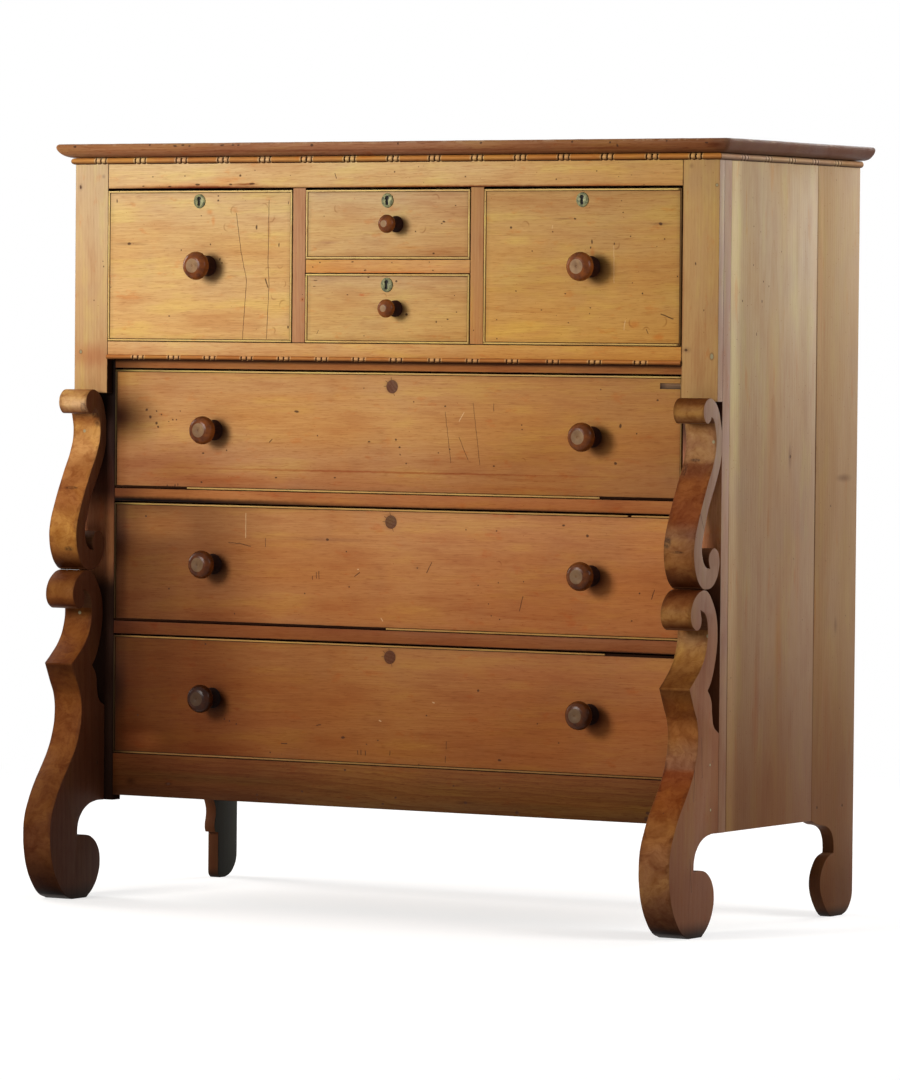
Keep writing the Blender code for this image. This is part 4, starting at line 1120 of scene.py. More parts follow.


# drawer fronts; their tones by height and ramps from left to right paint the light's falloff
# downwards and to the right as well as the wood's colour
drawerLooks = {
    "upper_left": {
        "tones": (
            (0.88, (0.71, 0.435, 0.178)), (1.05, (0.69, 0.435, 0.18)), (1.13, (0.7, 0.5, 0.27)),
        ),
        "spots": (
            (-481, 1040, 4.4, 3), (-313, 1115, 2, 1.6), (-313, 1108, 2.6, 1.8),
            (-327, 1039, 1.6, 1.8), (-241, 1066, 2.2, 5), (-199, 1038, 1.2, 4),
            (-516, 971, 1.6, 1.2), (-404, 926, 2.2, 1.4), (-181, 910, 2, 3), (-309, 1016, 1.8, 3.2),
            (-505, 1108, 1.6, 4), (-382, 1030, 1.6, 1.6), (-182, 1104, 1, 3),
            (-305, 1010, 1.4, 1.4), (-345, 1084, 1.6, 1.2),
        ),
        "cracks": (
            (0.7, (-279, 1088), (-269, 1025), (-259, 983), (-261, 953), (-266, 890)),
            (0.7, (-218, 1108), (-219, 1006), (-217, 976), (-221, 891)),
            (1.4, (-224, 985), (-219, 972)),
        ),
        "moons": (
            (-227, 1097, 7), (-215, 1081, 8), (-295, 1067, 8), (-219, 998, 6), (-191, 978, 6),
            (-207, 959, 7), (-189, 944, 9), (-211, 904, 7), (-197, 1007, 6), (-282, 1092, 8),
        ),
        "stainsAndShade": (
            (-481, 1040, 44, 4, knotGrey, 0.8), (-329, 1090, 9, 6, scuffRed, 0.7),
            (-322, 1076, 5, 11, scuffRed, 0.7), (-218, 1062, 5, 24, (0.86, 0.7, 0.62), 0.7),
            (-250, 1025, 60, 5, (0.93, 0.84, 0.78), 0.6),
            (-280, 1090, 10, 8, (0.9, 0.76, 0.7), 0.7),
        ),
    },
    "upper_right": {
        "tones": (
            (0.88, (0.6, 0.325, 0.087)), (1, (0.568, 0.334, 0.112)), (1.13, (0.518, 0.31, 0.122)),
        ),
        "across": ((0.16, (1, 1, 1)), (0.53, (0.96, 0.9, 0.78))),
        "spots": (
            (222, 1065, 2.6, 2.4), (335, 1078, 3, 1.8), (484, 1070, 4.4, 3), (365, 1043, 2, 4.4),
            (363, 1034, 1.6, 2), (404, 1040, 1.4, 2.4), (419, 1087, 1.5, 1.4),
            (432, 1051, 1.5, 1.4), (491, 1047, 1.8, 1.5), (296, 1058, 1.4, 1.2),
            (232, 968, 1.6, 1.3), (198, 924, 1.4, 1.3), (199, 895, 1.6, 1.5), (325, 920, 1.4, 1.3),
            (363, 943, 1.8, 1.3), (362, 934, 1.2, 1.2), (277, 939, 1.8, 1.4), (454, 965, 2, 1.8),
            (514, 991, 1.6, 1.6), (436, 981, 1.2, 1.1), (260, 1029, 1.6, 1.4), (319, 964, 2.2, 1.4),
            (416, 1105, 1.4, 1.1),
        ),
        "cracks": ((1.3, (486, 934), (507, 927)), (0.8, (461, 911), (464, 904))),
        "pale": (
            (0.8, (424, 924), (422, 910)), (0.6, (403, 1037), (404, 981)),
            (0.7, (296, 1068), (295, 1063)),
        ),
        "moons": ((247, 1067, 8), (406, 1039, 8), (438, 921, 8), (461, 908, 7), (488, 923, 9)),
        "stainsAndShade": (
            (484, 1070, 30, 3.2, knotGrey, 0.9), (316, 1078, 30, 2.4, knotGrey, 0.8),
            (481, 899, 14, 7, scuffRed, 0.8), (440, 918, 14, 9, scuffRed, 0.6),
            (366, 1026, 6, 14, scuffRed, 0.7), (420, 985, 22, 26, (0.88, 0.92, 1), 0.6),
            (375, 965, 30, 14, (0.88, 0.92, 0.95), 0.6),
        ),
    },
    "small_upper": {
        "tones": (
            (1.01, (0.62, 0.4, 0.178)), (1.06, (0.64, 0.445, 0.21)), (1.13, (0.62, 0.445, 0.245)),
        ),
        "across": ((-0.14, (1, 1, 1)), (0.14, (0.9, 0.77, 0.66))),
        "spots": (
            (123, 1099, 1.6, 1.3), (102, 1074, 3.2, 1.8), (-116, 1083, 1.2, 1), (84, 1025, 3, 1.6),
            (51, 1059, 1.6, 1.5), (98, 1071, 2.4, 1.2),
        ),
        "moons": ((86, 1109, 8), (62, 1064, 8), (-91, 1095, 7)),
        "stainsAndShade": (
            (-108, 1042, 30, 4, (0.76, 0.66, 0.76), 0.8),
            (-120, 1036, 24, 6, (0.84, 0.76, 0.78), 0.6),
            (40, 1034, 46, 4, (0.94, 0.76, 0.56), 0.7), (100, 1028, 34, 10, (0.84, 0.7, 0.62), 0.6),
            (-120, 1118, 20, 8, (0.84, 0.8, 0.8), 0.6),
        ),
    },
    "small_lower": {
        "tones": (
            (0.88, (0.63, 0.415, 0.165)), (0.95, (0.62, 0.41, 0.175)), (1, (0.57, 0.38, 0.2)),
        ),
        "across": ((-0.14, (1, 1, 1)), (0.14, (0.98, 0.88, 0.72))),
        "spots": (
            (17, 982, 2.6, 2.2), (36, 931, 3.4, 2.8), (90, 920, 1.6, 2.6), (110, 924, 2.4, 1.3),
            (126, 935, 1.6, 1.2), (122, 960, 1.2, 1), (-131, 983, 5, 0.9), (-133, 974, 3, 0.8),
            (-34, 988, 2.4, 1.2), (-72, 961, 2, 1), (-41, 897, 1.6, 1),
        ),
        "cracks": ((0.6, (-125, 905), (-128, 900)),),
        "moons": ((-6, 958, 6),),
        "stainsAndShade": (
            (-46, 961, 8, 3.4, (1, 0.55, 0.45), 0.9), (-107, 955, 9, 2.4, (0.8, 0.74, 0.8), 0.8),
            (-60, 930, 60, 2.2, (0.86, 0.74, 0.66), 0.6),
            (-20, 973, 30, 1.6, (0.84, 0.74, 0.7), 0.6), (120, 972, 24, 5, (0.84, 0.82, 0.84), 0.6),
            (-110, 985, 40, 8, (0.86, 0.82, 0.84), 0.7),
        ),
    },
    "long_1": {
        "tones": (
            (0.65, (0.45, 0.216, 0.084)), (0.69, (0.48, 0.238, 0.098)),
            (0.76, (0.56, 0.294, 0.102)), (0.84, (0.54, 0.286, 0.108)),
        ),
        # painted shade: the scroll's shadow on the left end, and the light's falloff to the right
        "across": (
            (-0.52, (0.2, 0.15, 0.14)), (-0.505, (0.66, 0.56, 0.52)), (-0.485, (0.86, 0.82, 0.84)),
            (-0.44, (0.95, 0.94, 1)), (-0.3, (0.98, 0.98, 1.02)), (-0.05, (1, 1, 1)),
            (0.25, (0.86, 0.75, 0.58)), (0.5, (0.84, 0.74, 0.63)),
        ),
        "spots": (
            (-456, 777, 3.2, 2.4), (-449, 766, 3.4, 3.2), (-437, 775, 1.8, 1.6),
            (-428, 770, 2.2, 1.8), (-437, 756, 3.2, 3), (-434, 750, 2.2, 2), (-406, 762, 2, 1.8),
            (-399, 762, 1.6, 1.6), (-414, 759, 1.8, 1.2), (-392, 776, 1.5, 1.4),
            (-174, 778, 5.4, 2.6), (-135, 741, 1.6, 1.6), (-304, 715, 1.8, 1.8),
            (-50, 816, 1.4, 1.4), (41, 796, 1.6, 1.5), (98, 790, 2.2, 1.8), (9, 737, 2.2, 2),
            (16, 725, 2.2, 1.8), (17, 714, 1.6, 1.5), (28, 700, 1.8, 1.5), (107, 724, 1.6, 1.5),
            (86, 718, 1.5, 1.5), (235, 763, 1.8, 1.6), (236, 756, 1.5, 1.3), (401, 707, 3.4, 3),
            (409, 764, 2.6, 4.6), (437, 753, 1.8, 1.7), (473, 804, 2.6, 2), (186, 699, 2.2, 1.8),
            (374, 819, 1.5, 1.4), (-416, 657, 1.6, 3), (-401, 658, 1.4, 3), (-396, 659, 1.2, 3),
            (-40, 733, 3, 1.4), (-348, 710, 3, 1.4), (-351, 664, 2.4, 1.8), (-211, 674, 3, 1.6),
            (-102, 676, 2.6, 1.6),
        ),
        "cracks": (
            (1.1, (-224, 729), (-219, 734)), (0.6, (98, 781), (109, 703)),
            (0.6, (148, 796), (161, 701)), (0.6, (123, 743), (140, 707)),
            (0.7, (185, 795), (185, 784)),
        ),
        "pale": ((0.9, (132, 781), (123, 767)),),
        "moons": ((238, 708, 5),),
        "stainsAndShade": (
            (0, 686, 620, 2.6, (0.72, 0.46, 0.38), 0.9),
            # painted shadow of the scroll's top roll on the left end
            (-520, 766, 116, 62, (0.06, 0.035, 0.035), 1),
            (-400, 684, 150, 60, (0.68, 0.5, 0.42), 0.8),
            (-100, 664, 420, 24, (0.9, 0.78, 0.78), 0.9),
            (-300, 668, 200, 12, (0.96, 0.82, 0.7), 0.6),
            (250, 664, 240, 10, (0.95, 0.8, 0.7), 0.6), (-200, 800, 220, 12, (1, 0.88, 0.72), 0.5),
            (-109, 798, 14, 5, (0.86, 0.76, 0.7), 0.6),
        ),
    },
    "long_2": {
        "tones": (
            (0.44, (0.41, 0.166, 0.056)), (0.52, (0.45, 0.194, 0.066)),
            (0.63, (0.49, 0.228, 0.082)),
        ),
        # painted shade: the scroll's shadow on the left end, and the light's falloff across
        "across": (
            (-0.52, (0.05, 0.04, 0.04)), (-0.502, (0.15, 0.12, 0.12)), (-0.485, (0.29, 0.25, 0.24)),
            (-0.44, (0.36, 0.32, 0.31)), (-0.36, (0.48, 0.43, 0.42)), (-0.18, (0.93, 0.93, 0.93)),
            (0, (1, 1, 1)), (0.28, (1, 0.92, 0.9)), (0.5, (1.06, 0.94, 0.86)),
        ),
        "spots": (
            (-456, 608, 2.6, 2.2), (-411, 494, 1.9, 1.8), (-287, 458, 1.7, 1.6),
            (-115, 579, 3.8, 2.6), (-74, 506, 2, 1.8), (-156, 494, 1.7, 1.6), (-80, 561, 1.7, 1.6),
            (311, 611, 3.4, 2.2), (353, 596, 3, 2.6), (192, 600, 1.7, 1.5), (137, 600, 1.5, 1.4),
            (50, 539, 2, 1.4), (196, 520, 1.6, 1.4), (241, 523, 1.5, 1.4), (160, 515, 1.5, 1.4),
            (445, 511, 2.1, 1.8), (432, 469, 1.9, 1.7), (184, 469, 1.6, 1.5), (199, 464, 1.6, 1.5),
            (179, 487, 1.5, 1.4),
        ),
        "cracks": (
            (0.9, (-299, 570), (-278, 569), (-258, 565)), (0.8, (-230, 578), (-230, 565)),
            (0.9, (-142, 516), (-142, 521)), (0.9, (-135, 518), (-135, 527)),
            (0.9, (-130, 517), (-130, 529)), (1, (-64, 523), (-55, 529)), (1, (76, 548), (67, 532)),
            (1, (240, 500), (234, 478)), (1, (471, 517), (466, 503)),
        ),
        "pale": (
            (0.8, (-267, 617), (-267, 578)), (1.1, (-59, 534), (-57, 534)),
            (1.1, (-15, 459), (-12, 455)),
        ),
        "moons": ((196, 548, 6),),
        "stainsAndShade": (
            (-115, 579, 120, 5, (0.74, 0.7, 0.78), 0.8),
            (-280, 520, 180, 30, (0.96, 0.84, 0.72), 0.5),
            # painted shadow of the scroll on the left end, and beside it a painted pool of light
            (-512, 560, 46, 44, (0.3, 0.24, 0.26), 0.8), (-435, 596, 90, 38, (1.7, 1.8, 1.6), 0.9),
            (100, 590, 220, 16, (1, 0.9, 0.78), 0.5), (50, 539, 9, 5, (0.8, 0.82, 0.9), 0.7),
            (300, 480, 160, 20, (0.92, 0.82, 0.72), 0.5),
        ),
    },
    "long_3": {
        "tones": (
            (0.23, (0.3, 0.114, 0.034)), (0.32, (0.325, 0.124, 0.036)),
            (0.42, (0.36, 0.148, 0.044)),
        ),
        # painted shade: the scroll's shadow on the left end, and the light's falloff across
        "across": (
            (-0.52, (0.05, 0.04, 0.04)), (-0.502, (0.16, 0.12, 0.11)), (-0.485, (0.24, 0.18, 0.16)),
            (-0.44, (0.34, 0.27, 0.23)), (-0.36, (0.44, 0.34, 0.29)), (-0.2, (0.8, 0.76, 0.74)),
            (-0.02, (0.98, 1, 0.94)), (0.25, (0.98, 0.9, 0.86)), (0.5, (1.17, 1.12, 1.22)),
        ),
        "spots": (
            (-341, 408, 2, 2), (-469, 291, 2, 1.9), (-304, 291, 2, 1.9), (-295, 288, 1.8, 1.7),
            (-282, 284, 1.7, 1.6), (-218, 242, 1.8, 1.7), (-83, 271, 4.6, 2.4), (162, 353, 3, 2.6),
            (69, 311, 1.7, 1.6), (201, 247, 4.4, 2.4), (306, 278, 1.8, 1.7), (268, 306, 1.7, 1.6),
            (56, 234, 1.8, 1.6), (-19, 269, 2, 1.5), (-40, 262, 1.6, 1.4),
        ),
        "cracks": (
            (1.1, (-132, 288), (-125, 289)), (1.1, (-197, 257), (-187, 257)),
            (1, (-56, 251), (-56, 246)), (1, (-50, 252), (-50, 245)), (1, (-42, 252), (-42, 245)),
            (1, (3, 253), (3, 247)), (0.8, (105, 272), (105, 261)), (0.9, (104, 249), (104, 240)),
        ),
        "pale": ((1.1, (-17, 300), (-14, 299)), (1.1, (80, 332), (83, 331))),
        "stainsAndShade": (
            (-83, 271, 10, 5, (0.85, 0.85, 0.95), 0.7),
            (-260, 290, 160, 26, (0.92, 0.8, 0.76), 0.6),
            # painted shadow of the scroll on the left end, and beside it a painted pool of light
            (-514, 330, 40, 60, (0.35, 0.32, 0.35), 0.8), (-460, 250, 60, 26, (1.7, 1.7, 1.9), 0.8),
            (240, 380, 220, 20, (1, 0.86, 0.8), 0.5), (120, 250, 240, 12, (0.88, 0.78, 0.76), 0.6),
        ),
    },
}
knobNodes = {
    label: [f"knob_{label}_{side}" for side in ("left", "right")]
    if label.startswith("long") else [f"knob_{label}"]
    for label in drawerLooks
}
plugPlaces = {"long_1": (1.4, 819), "long_2": (1.4, 609), "long_3": (1.4, 399)}
frontSizes = {
    "bead": 2.6 * millimetre,
    "groove": 0.6 * millimetre,
    "rebate": 1.2 * millimetre,
    "rise": 1.4 * millimetre,
    "rounding": 0.3 * millimetre,
}
# the shade of a knob on the front, in radii of the knob: how far to the right of its
# middle, how far below it, half width, half height; then the colour and the strength
knobShades = (
    (0.3, 0.15, 1.5, 1.4, (0.2, 0.14, 0.12), 0.95),
    (0.3, 0.12, 1.15, 1.1, (0.34, 0.28, 0.34), 0.95),
)
plugMarks = {
    "dirtAndShade": (15.5, 15.5, (0.2, 0.13, 0.1), 0.9),
    "cracks": (1.7, 2.5, 3.1, 5),  # the way each one runs out, in radians
    "crackEnds": (10, 15),
    "crackWidth": 0.6,
}


# the painted shadow of each knob on its drawer front
def knobShadowSpots(label):
    stainsAndShade = []
    for knob in knobNodes[label]:
        low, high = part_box(knob)
        middle = (low + high) / 2 / millimetre
        radius = (high.x - low.x) / 2 / millimetre
        for right, below, wide, tall, *rest in knobShades:
            place = (middle.x + right * radius, middle.z - below * radius)
            stainsAndShade.append((*place, wide * radius, tall * radius, *rest))
    return tuple(stainsAndShade)


def addPlugMarks(look, label):
    # dirt round the plug and cracks that run out from it
    across, up = plugPlaces[label]
    look["stainsAndShade"] += ((across - 1.0, up + 1.0, *plugMarks["dirtAndShade"]),)
    for turn in plugMarks["cracks"]:
        ends = [
            (across + reach * math.cos(turn), up + reach * math.sin(turn))
            for reach in plugMarks["crackEnds"]
        ]
        look["cracks"] += ((plugMarks["crackWidth"], *ends),)


def makeFront(label):
    low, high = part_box(f"drawer_front_{label}")
    face = low.y + frontSizes["rise"]
    front = startBox(f"front_{label}", (low.x, face + frontSizes["rebate"], low.z), high)
    selectFaces(front, lambda flat: flat.normal.y < -0.9)
    border = frontSizes["bead"] + frontSizes["groove"]
    bpy.ops.mesh.inset(thickness=border)
    bpy.ops.mesh.extrude_region_move(
        TRANSFORM_OT_translate={"value": (0, -frontSizes["rebate"], 0)}
    )
    leaveEdit()
    roundEdges(front, frontSizes["rounding"])
    panelLow = (low.x + border, 0, low.z + border)
    panelHigh = (high.x - border, 0, high.z - border)
    look = {
        "heart": (0.2, face + 0.07, (low.z + high.z) / 2 - 0.05),
        # a dark line in the groove inside the bead and a wider darkening near the edge: painted
        # shade, with dirt
        "rims": ((panelLow, panelHigh, 1.0, 0.9), (panelLow, panelHigh, 9.0, 0.14)),
        **drawerLooks[label],
    }
    look["stainsAndShade"] += knobShadowSpots(label)
    if label in plugPlaces:
        addPlugMarks(look, label)
    wood = makePine(f"drawerPine_{label}", look)
    finishPiece(front, wood, f"drawer_{label}", [f"drawer_front_{label}"])

    def besidePanel(flat):
        across, deep, up = flat.center
        onPanel = panelLow[0] < across < panelHigh[0] and panelLow[2] < up < panelHigh[2]
        return deep < face + 3 * millimetre and not onPanel

    # painted shade: the rebate and end faces beside the panel are made near black
    paintFaces(front, gapShadeWood, besidePanel)


for label in drawerLooks:
    makeFront(label)
print("drawer fronts done")


# scrolls: (reach in front of the post, height, sharp corner) in millimetres
upperScroll = (
    (21.7, 281.3, 0), (38.5, 287.1, 0), (53, 280.6, 0), (58.5, 268.6, 0), (54.5, 254.6, 0),
    (44.8, 248.6, 0), (36, 253.1, 0), (33.1, 258.4, 1), (27.3, 254.9, 0), (20.8, 241.1, 0),
    (17.9, 215.8, 0), (25.5, 189.6, 0), (45.1, 154.3, 0), (70.1, 104.4, 0), (81.5, 74, 0),
    (83.7, 52, 0), (76, 22, 0), (62, 5, 0), (52, 0.3, 0), (42, 0, 0), (27.5, 2.6, 0),
    (13.5, 13.5, 0), (5.2, 29.4, 0), (3.9, 43.8, 0), (8, 55.5, 0), (18, 61.5, 0), (30, 58.5, 0),
    (37.6, 46, 0), (33.5, 31.5, 1), (46.5, 34.5, 0), (56.5, 49, 0), (58.3, 62.9, 0),
    (50.5, 90.5, 0), (39.6, 119.8, 0), (19, 156.2, 0), (5.2, 184, 0), (0, 201.6, 1), (0, 237.6, 1),
    (4.3, 252.5, 0), (10.4, 268.6, 0),
)
lowerScroll = (
    (25.7, 506.4, 0), (36, 517, 0), (46, 521.2, 0), (58, 521.2, 0), (73, 514.9, 0),
    (86.5, 501.6, 0), (91.6, 484.4, 0), (88.6, 472.3, 0), (80.1, 464, 0), (70.4, 461.3, 0),
    (61.5, 465.4, 0), (57.7, 475.3, 0), (61, 491.6, 1), (46, 484.2, 0), (38.3, 461.4, 0),
    (43.4, 429.2, 0), (56, 407.4, 0), (76, 388.4, 0), (93.4, 374.5, 1), (79.7, 346, 0),
    (68, 321.4, 0), (66.1, 285.8, 0), (72, 262.2, 0), (82.4, 238.9, 0), (101.4, 211.3, 0),
    (120.5, 186.3, 0), (137, 158.7, 0), (147.5, 133.3, 0), (150.6, 104, 0), (148, 76.3, 0),
    (141.1, 52, 0), (126.9, 27.2, 0), (107, 7.5, 0), (87.1, 0, 1), (47.6, 0, 1), (28.1, 14.9, 0),
    (13.6, 37.9, 0), (10.1, 58, 0), (15, 78, 0), (32, 95, 0), (54.7, 100.8, 0), (74.5, 100.3, 1),
    (72, 119.5, 0), (64.5, 133, 0), (48.3, 145.9, 0), (24, 152.9, 0), (0, 153.5, 1), (0, 304.5, 1),
    (16, 315.4, 0), (21.4, 333.5, 0), (24.8, 355, 0), (36, 370.4, 1), (28.5, 379, 0),
    (21.8, 390.8, 0), (13.9, 412, 0), (8.4, 435.4, 0), (7.3, 455.4, 0), (9.7, 476.3, 0),
    (15.6, 491.3, 0),
)
scrollLooks = {
    "edge": 1.3 * millimetre,
    "facets": 9,
    # the veneer's tones by height paint, beside its colour, the light on each roll and the shade
    # under it
    "veneer": {
        "left": (
            (0, (0.008, 0.006, 0.005)), (0.03, (0.06, 0.021, 0.008)), (0.1, (0.099, 0.033, 0.012)),
            (0.16, (0.12, 0.04, 0.011)), (0.26, (0.18, 0.06, 0.015)), (0.33, (0.14, 0.042, 0.011)),
            (0.371, (0.08, 0.025, 0.007)), (0.377, (0.15, 0.045, 0.011)),
            (0.42, (0.18, 0.057, 0.013)), (0.455, (0.13, 0.041, 0.011)),
            (0.462, (0.15, 0.045, 0.012)), (0.495, (0.2, 0.075, 0.018)),
            (0.512, (0.14, 0.044, 0.012)), (0.53, (0.1, 0.034, 0.01)), (0.556, (0.26, 0.1, 0.024)),
            (0.6, (0.42, 0.185, 0.045)), (0.635, (0.33, 0.12, 0.034)), (0.68, (0.38, 0.15, 0.042)),
            (0.715, (0.56, 0.27, 0.09)), (0.745, (0.5, 0.24, 0.075)), (0.762, (0.38, 0.155, 0.045)),
            (0.785, (0.65, 0.39, 0.19)), (0.803, (0.53, 0.28, 0.1)),
        ),
        "right": (
            (0, (0.006, 0.006, 0.006)), (0.03, (0.17, 0.074, 0.035)), (0.1, (0.235, 0.1, 0.041)),
            (0.16, (0.3, 0.118, 0.032)), (0.21, (0.29, 0.087, 0.02)), (0.247, (0.23, 0.06, 0.017)),
            (0.256, (0.25, 0.104, 0.05)), (0.278, (0.27, 0.116, 0.048)),
            (0.305, (0.29, 0.108, 0.029)), (0.34, (0.23, 0.076, 0.018)),
            (0.371, (0.16, 0.058, 0.015)), (0.377, (0.26, 0.11, 0.028)),
            (0.41, (0.34, 0.155, 0.042)), (0.45, (0.31, 0.155, 0.058)),
            (0.463, (0.24, 0.098, 0.03)), (0.485, (0.3, 0.138, 0.04)),
            (0.505, (0.24, 0.088, 0.026)), (0.52, (0.15, 0.045, 0.015)),
            (0.532, (0.13, 0.045, 0.015)), (0.56, (0.24, 0.096, 0.028)),
            (0.588, (0.26, 0.112, 0.042)), (0.604, (0.21, 0.088, 0.046)),
            (0.63, (0.24, 0.069, 0.021)), (0.68, (0.25, 0.076, 0.024)),
            (0.706, (0.22, 0.08, 0.034)), (0.716, (0.32, 0.155, 0.072)),
            (0.765, (0.37, 0.19, 0.086)), (0.785, (0.34, 0.165, 0.045)),
            (0.803, (0.2, 0.075, 0.022)),
        ),
    },
    # what the veneer's turned-up faces are multiplied by, as painted shade
    "upturned": {"left": (0.85, 0.8, 0.75), "right": (0.5, 0.4, 0.34)},
    "outer": {
        "plane": "YZ", "grain": "Z", "growth": 0.16, "fibre": 0.18, "dash": 0.18, "cloud": 0.5,
        "tones": (
            (0, (0.012, 0.009, 0.008)), (0.03, (0.165, 0.071, 0.038)),
            (0.25, (0.215, 0.096, 0.047)), (0.42, (0.218, 0.104, 0.057)),
            (0.55, (0.232, 0.142, 0.098)), (0.8, (0.26, 0.168, 0.122)),
        ),
        "cracks": (
            (1, (-215, 330), (-219, 270), (-222, 205)), (0.9, (-199, 300), (-196, 240)),
            (0.9, (-232, 120), (-226, 70)), (0.8, (-212, 640), (-190, 596)),
        ),
        "fillers": ((-172, 258, 2.4, 2.6), (-169, 190, 2.4, 2.8)),
        "stainsAndShade": (
            (-200, 450, 30, 40, (0.86, 0.78, 0.8), 0.7),
            (-230, 90, 30, 30, (0.85, 0.76, 0.74), 0.6),
        ),
        "scuffStretch": (60, 60, 20), "rough": 0.52,
    },
    "inner": {
        "plane": "YZ", "grain": "Z", "growth": 0.3, "fibre": 0.3, "scuff": 0.2,
        "tones": (
            (0, (0.02, 0.012, 0.01)), (0.03, (0.078, 0.031, 0.017)), (0.4, (0.112, 0.041, 0.02)),
            (0.8, (0.15, 0.062, 0.03)),
        ),
        "spots": ((-165, 214, 2.6, 4), (-214, 128, 7, 4), (-206, 124, 4, 5)),
    },
    # old glue and dirt: (across, up, half width, half height)
    "smudges": {
        "left": ((-538, 770, 9, 26), (-560, 652, 16, 3), (-548, 556, 12, 5)),
        "right": ((538, 592, 9, 11), (556, 578, 14, 2.6), (552, 715, 12, 3), (538, 700, 5, 14)),
    },
    # dark wood that paints the shade in the hollows behind the veneer
    "hollow": {
        "grain": "X", "growth": 0.2, "fibre": 0.3, "scuff": 0.2,
        "tones": (
            (0, (0.025, 0.013, 0.01)), (0.05, (0.07, 0.026, 0.012)), (0.8, (0.14, 0.06, 0.028)),
        ),
    },
    # fillers over old screws: (across, up, half width, half height)
    "fillers": {
        "left": ((-563, 742, 3.4, 3.4), (-556, 453, 3.6, 3.4)),
        "right": ((580, 743, 3.2, 3.4), (585, 452, 3.4, 3.4)),
    },
}


def fitToNode(piece, node):
    # stretches the mesh over the box of the CAD node that it stands for
    low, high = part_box(node)
    places = [corner.co for corner in piece.data.vertices]
    startLow = Vector(min(place[axis] for place in places) for axis in range(3))
    startHigh = Vector(max(place[axis] for place in places) for axis in range(3))
    scale = [(high[axis] - low[axis]) / (startHigh[axis] - startLow[axis]) for axis in range(3)]
    placeMesh(piece, Matrix.Translation(low) @ Matrix.Diagonal((*scale, 1))
              @ Matrix.Translation(-startLow))


def sidePlate(name, outline, node, edge, facets):
    # an outline seen from the side, as wide as its CAD node
    low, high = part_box(node)
    points = inMetres([(-reach, height, sharp) for reach, height, sharp in outline])
    plate = makePlate(name, points, high.x - low.x, edge, facets)
    placeMesh(plate, Matrix(((0, 0, 1, 0), (1, 0, 0, 0), (0, 1, 0, 0), (0, 0, 0, 1))))
    fitToNode(plate, node)
    return plate


# scale, detail and roughness of each pattern of the veneer
veneerNoise = {
    "sway": (22.0, 3.0, 0.55),
    "figure": (44.0, 3.0, 0.5),
    "burr": (150.0, 4.0, 0.65),
    "glow": (20.0, 2.0, 0.5),
    "band": ((14.0, 14.0, 330.0), 3.0, 0.6),
}


def veneerTone(tree, side, coords, patterns):
    # the patterns are noise and lean: (value, start, full, strength, colour)
    tone = toneRamp(tree, splitVector(tree, coords)[2], scrollLooks["veneer"][side])
    for value, start, full, strength, colour in patterns:
        tone = tintBy(tree, remap(tree, value, start, full), strength, tone, colour)
    return tone


def veneerEdge(tree, side, coords, figure):
    # the veneer's two edges are worn and dirty
    low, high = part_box(f"upper_scroll_{side}")
    half = (high.x - low.x) / 2
    fromMiddle = calc(tree, "SUBTRACT", splitVector(tree, coords)[0], (low.x + high.x) / 2)
    ragged = times(tree, calc(tree, "SUBTRACT", figure, 0.5), 0.02)
    place = calc(tree, "ADD", calc(tree, "ABSOLUTE", fromMiddle), ragged)
    return remap(tree, place, half - 5.5 * millimetre, half - 0.5 * millimetre, smooth=True)


def makeVeneer(name, side):
    # crossbanded burr veneer over the curved front of a scroll
    material, tree, shader = newMaterial(name)
    coords = pieceCoords(tree)
    sway = vectorScale(tree, evenNoise(tree, coords, *veneerNoise["sway"]), 0.05)
    swayed = vectorCalc(tree, "ADD", coords, sway)
    figure, burr, glow = (
        noise(tree, swayed, *veneerNoise[kind]) for kind in ("figure", "burr", "glow")
    )
    band = drawnNoise(tree, swayed, *veneerNoise["band"])
    lean = meshValue(tree, "lean")
    tone = veneerTone(tree, side, coords, (
        (figure, 0.42, 0.72, 0.85, (0.62, 0.46, 0.38)),
        (burr, 0.46, 0.66, 0.45, (0.66, 0.52, 0.44)),
        (glow, 0.46, 0.68, 1.0, (1.22, 1.32, 1.1)),
        # painted shade on the turned-down and the turned-up faces
        (lean, -0.15, -0.8, 1.0, (0.34, 0.25, 0.2)),
        (lean, 0.35, 0.9, 1.0, scrollLooks["upturned"][side]),
        (band, 0.48, 0.66, 0.28, deepAmber),
    ))
    onFace = vectorCalc(tree, "MULTIPLY", coords, onlyPlane["XZ"])
    smudges, fillers = (
        strongest(tree, [spotMask(tree, onFace, "XZ", mark) for mark in scrollLooks[kind][side]])
        for kind in ("smudges", "fillers")
    )
    dirtAndShade = speckMask(tree, coords, 70.0, 0.16, 1.8 * millimetre)
    tone = tintBy(tree, smudges, remap(tree, burr, 0.3, 0.6), tone, (0.42, 0.46, 0.62))
    tone = coverBy(tree, fillers, 0.85, tone, fillerGrey)
    tone = coverBy(tree, dirtAndShade, 0.75, tone, dentDark)
    tone = coverBy(tree, veneerEdge(tree, side, coords, figure), 0.3, tone, grimeAndShadeDark)
    relief = calc(tree, "ADD", times(tree, band, 0.6), times(tree, glow, 0.8))
    relief = calc(tree, "SUBTRACT", relief, dirtAndShade)
    fillInputs(tree, shader.inputs, {
        "Base Color": tone,
        "Roughness": remap(tree, glow, 0.3, 0.7, 0.36, 0.5),
        "Normal": bump(tree, relief, 0.5, 0.8 * millimetre),
        "Specular IOR Level": 0.015,
    })
    return material


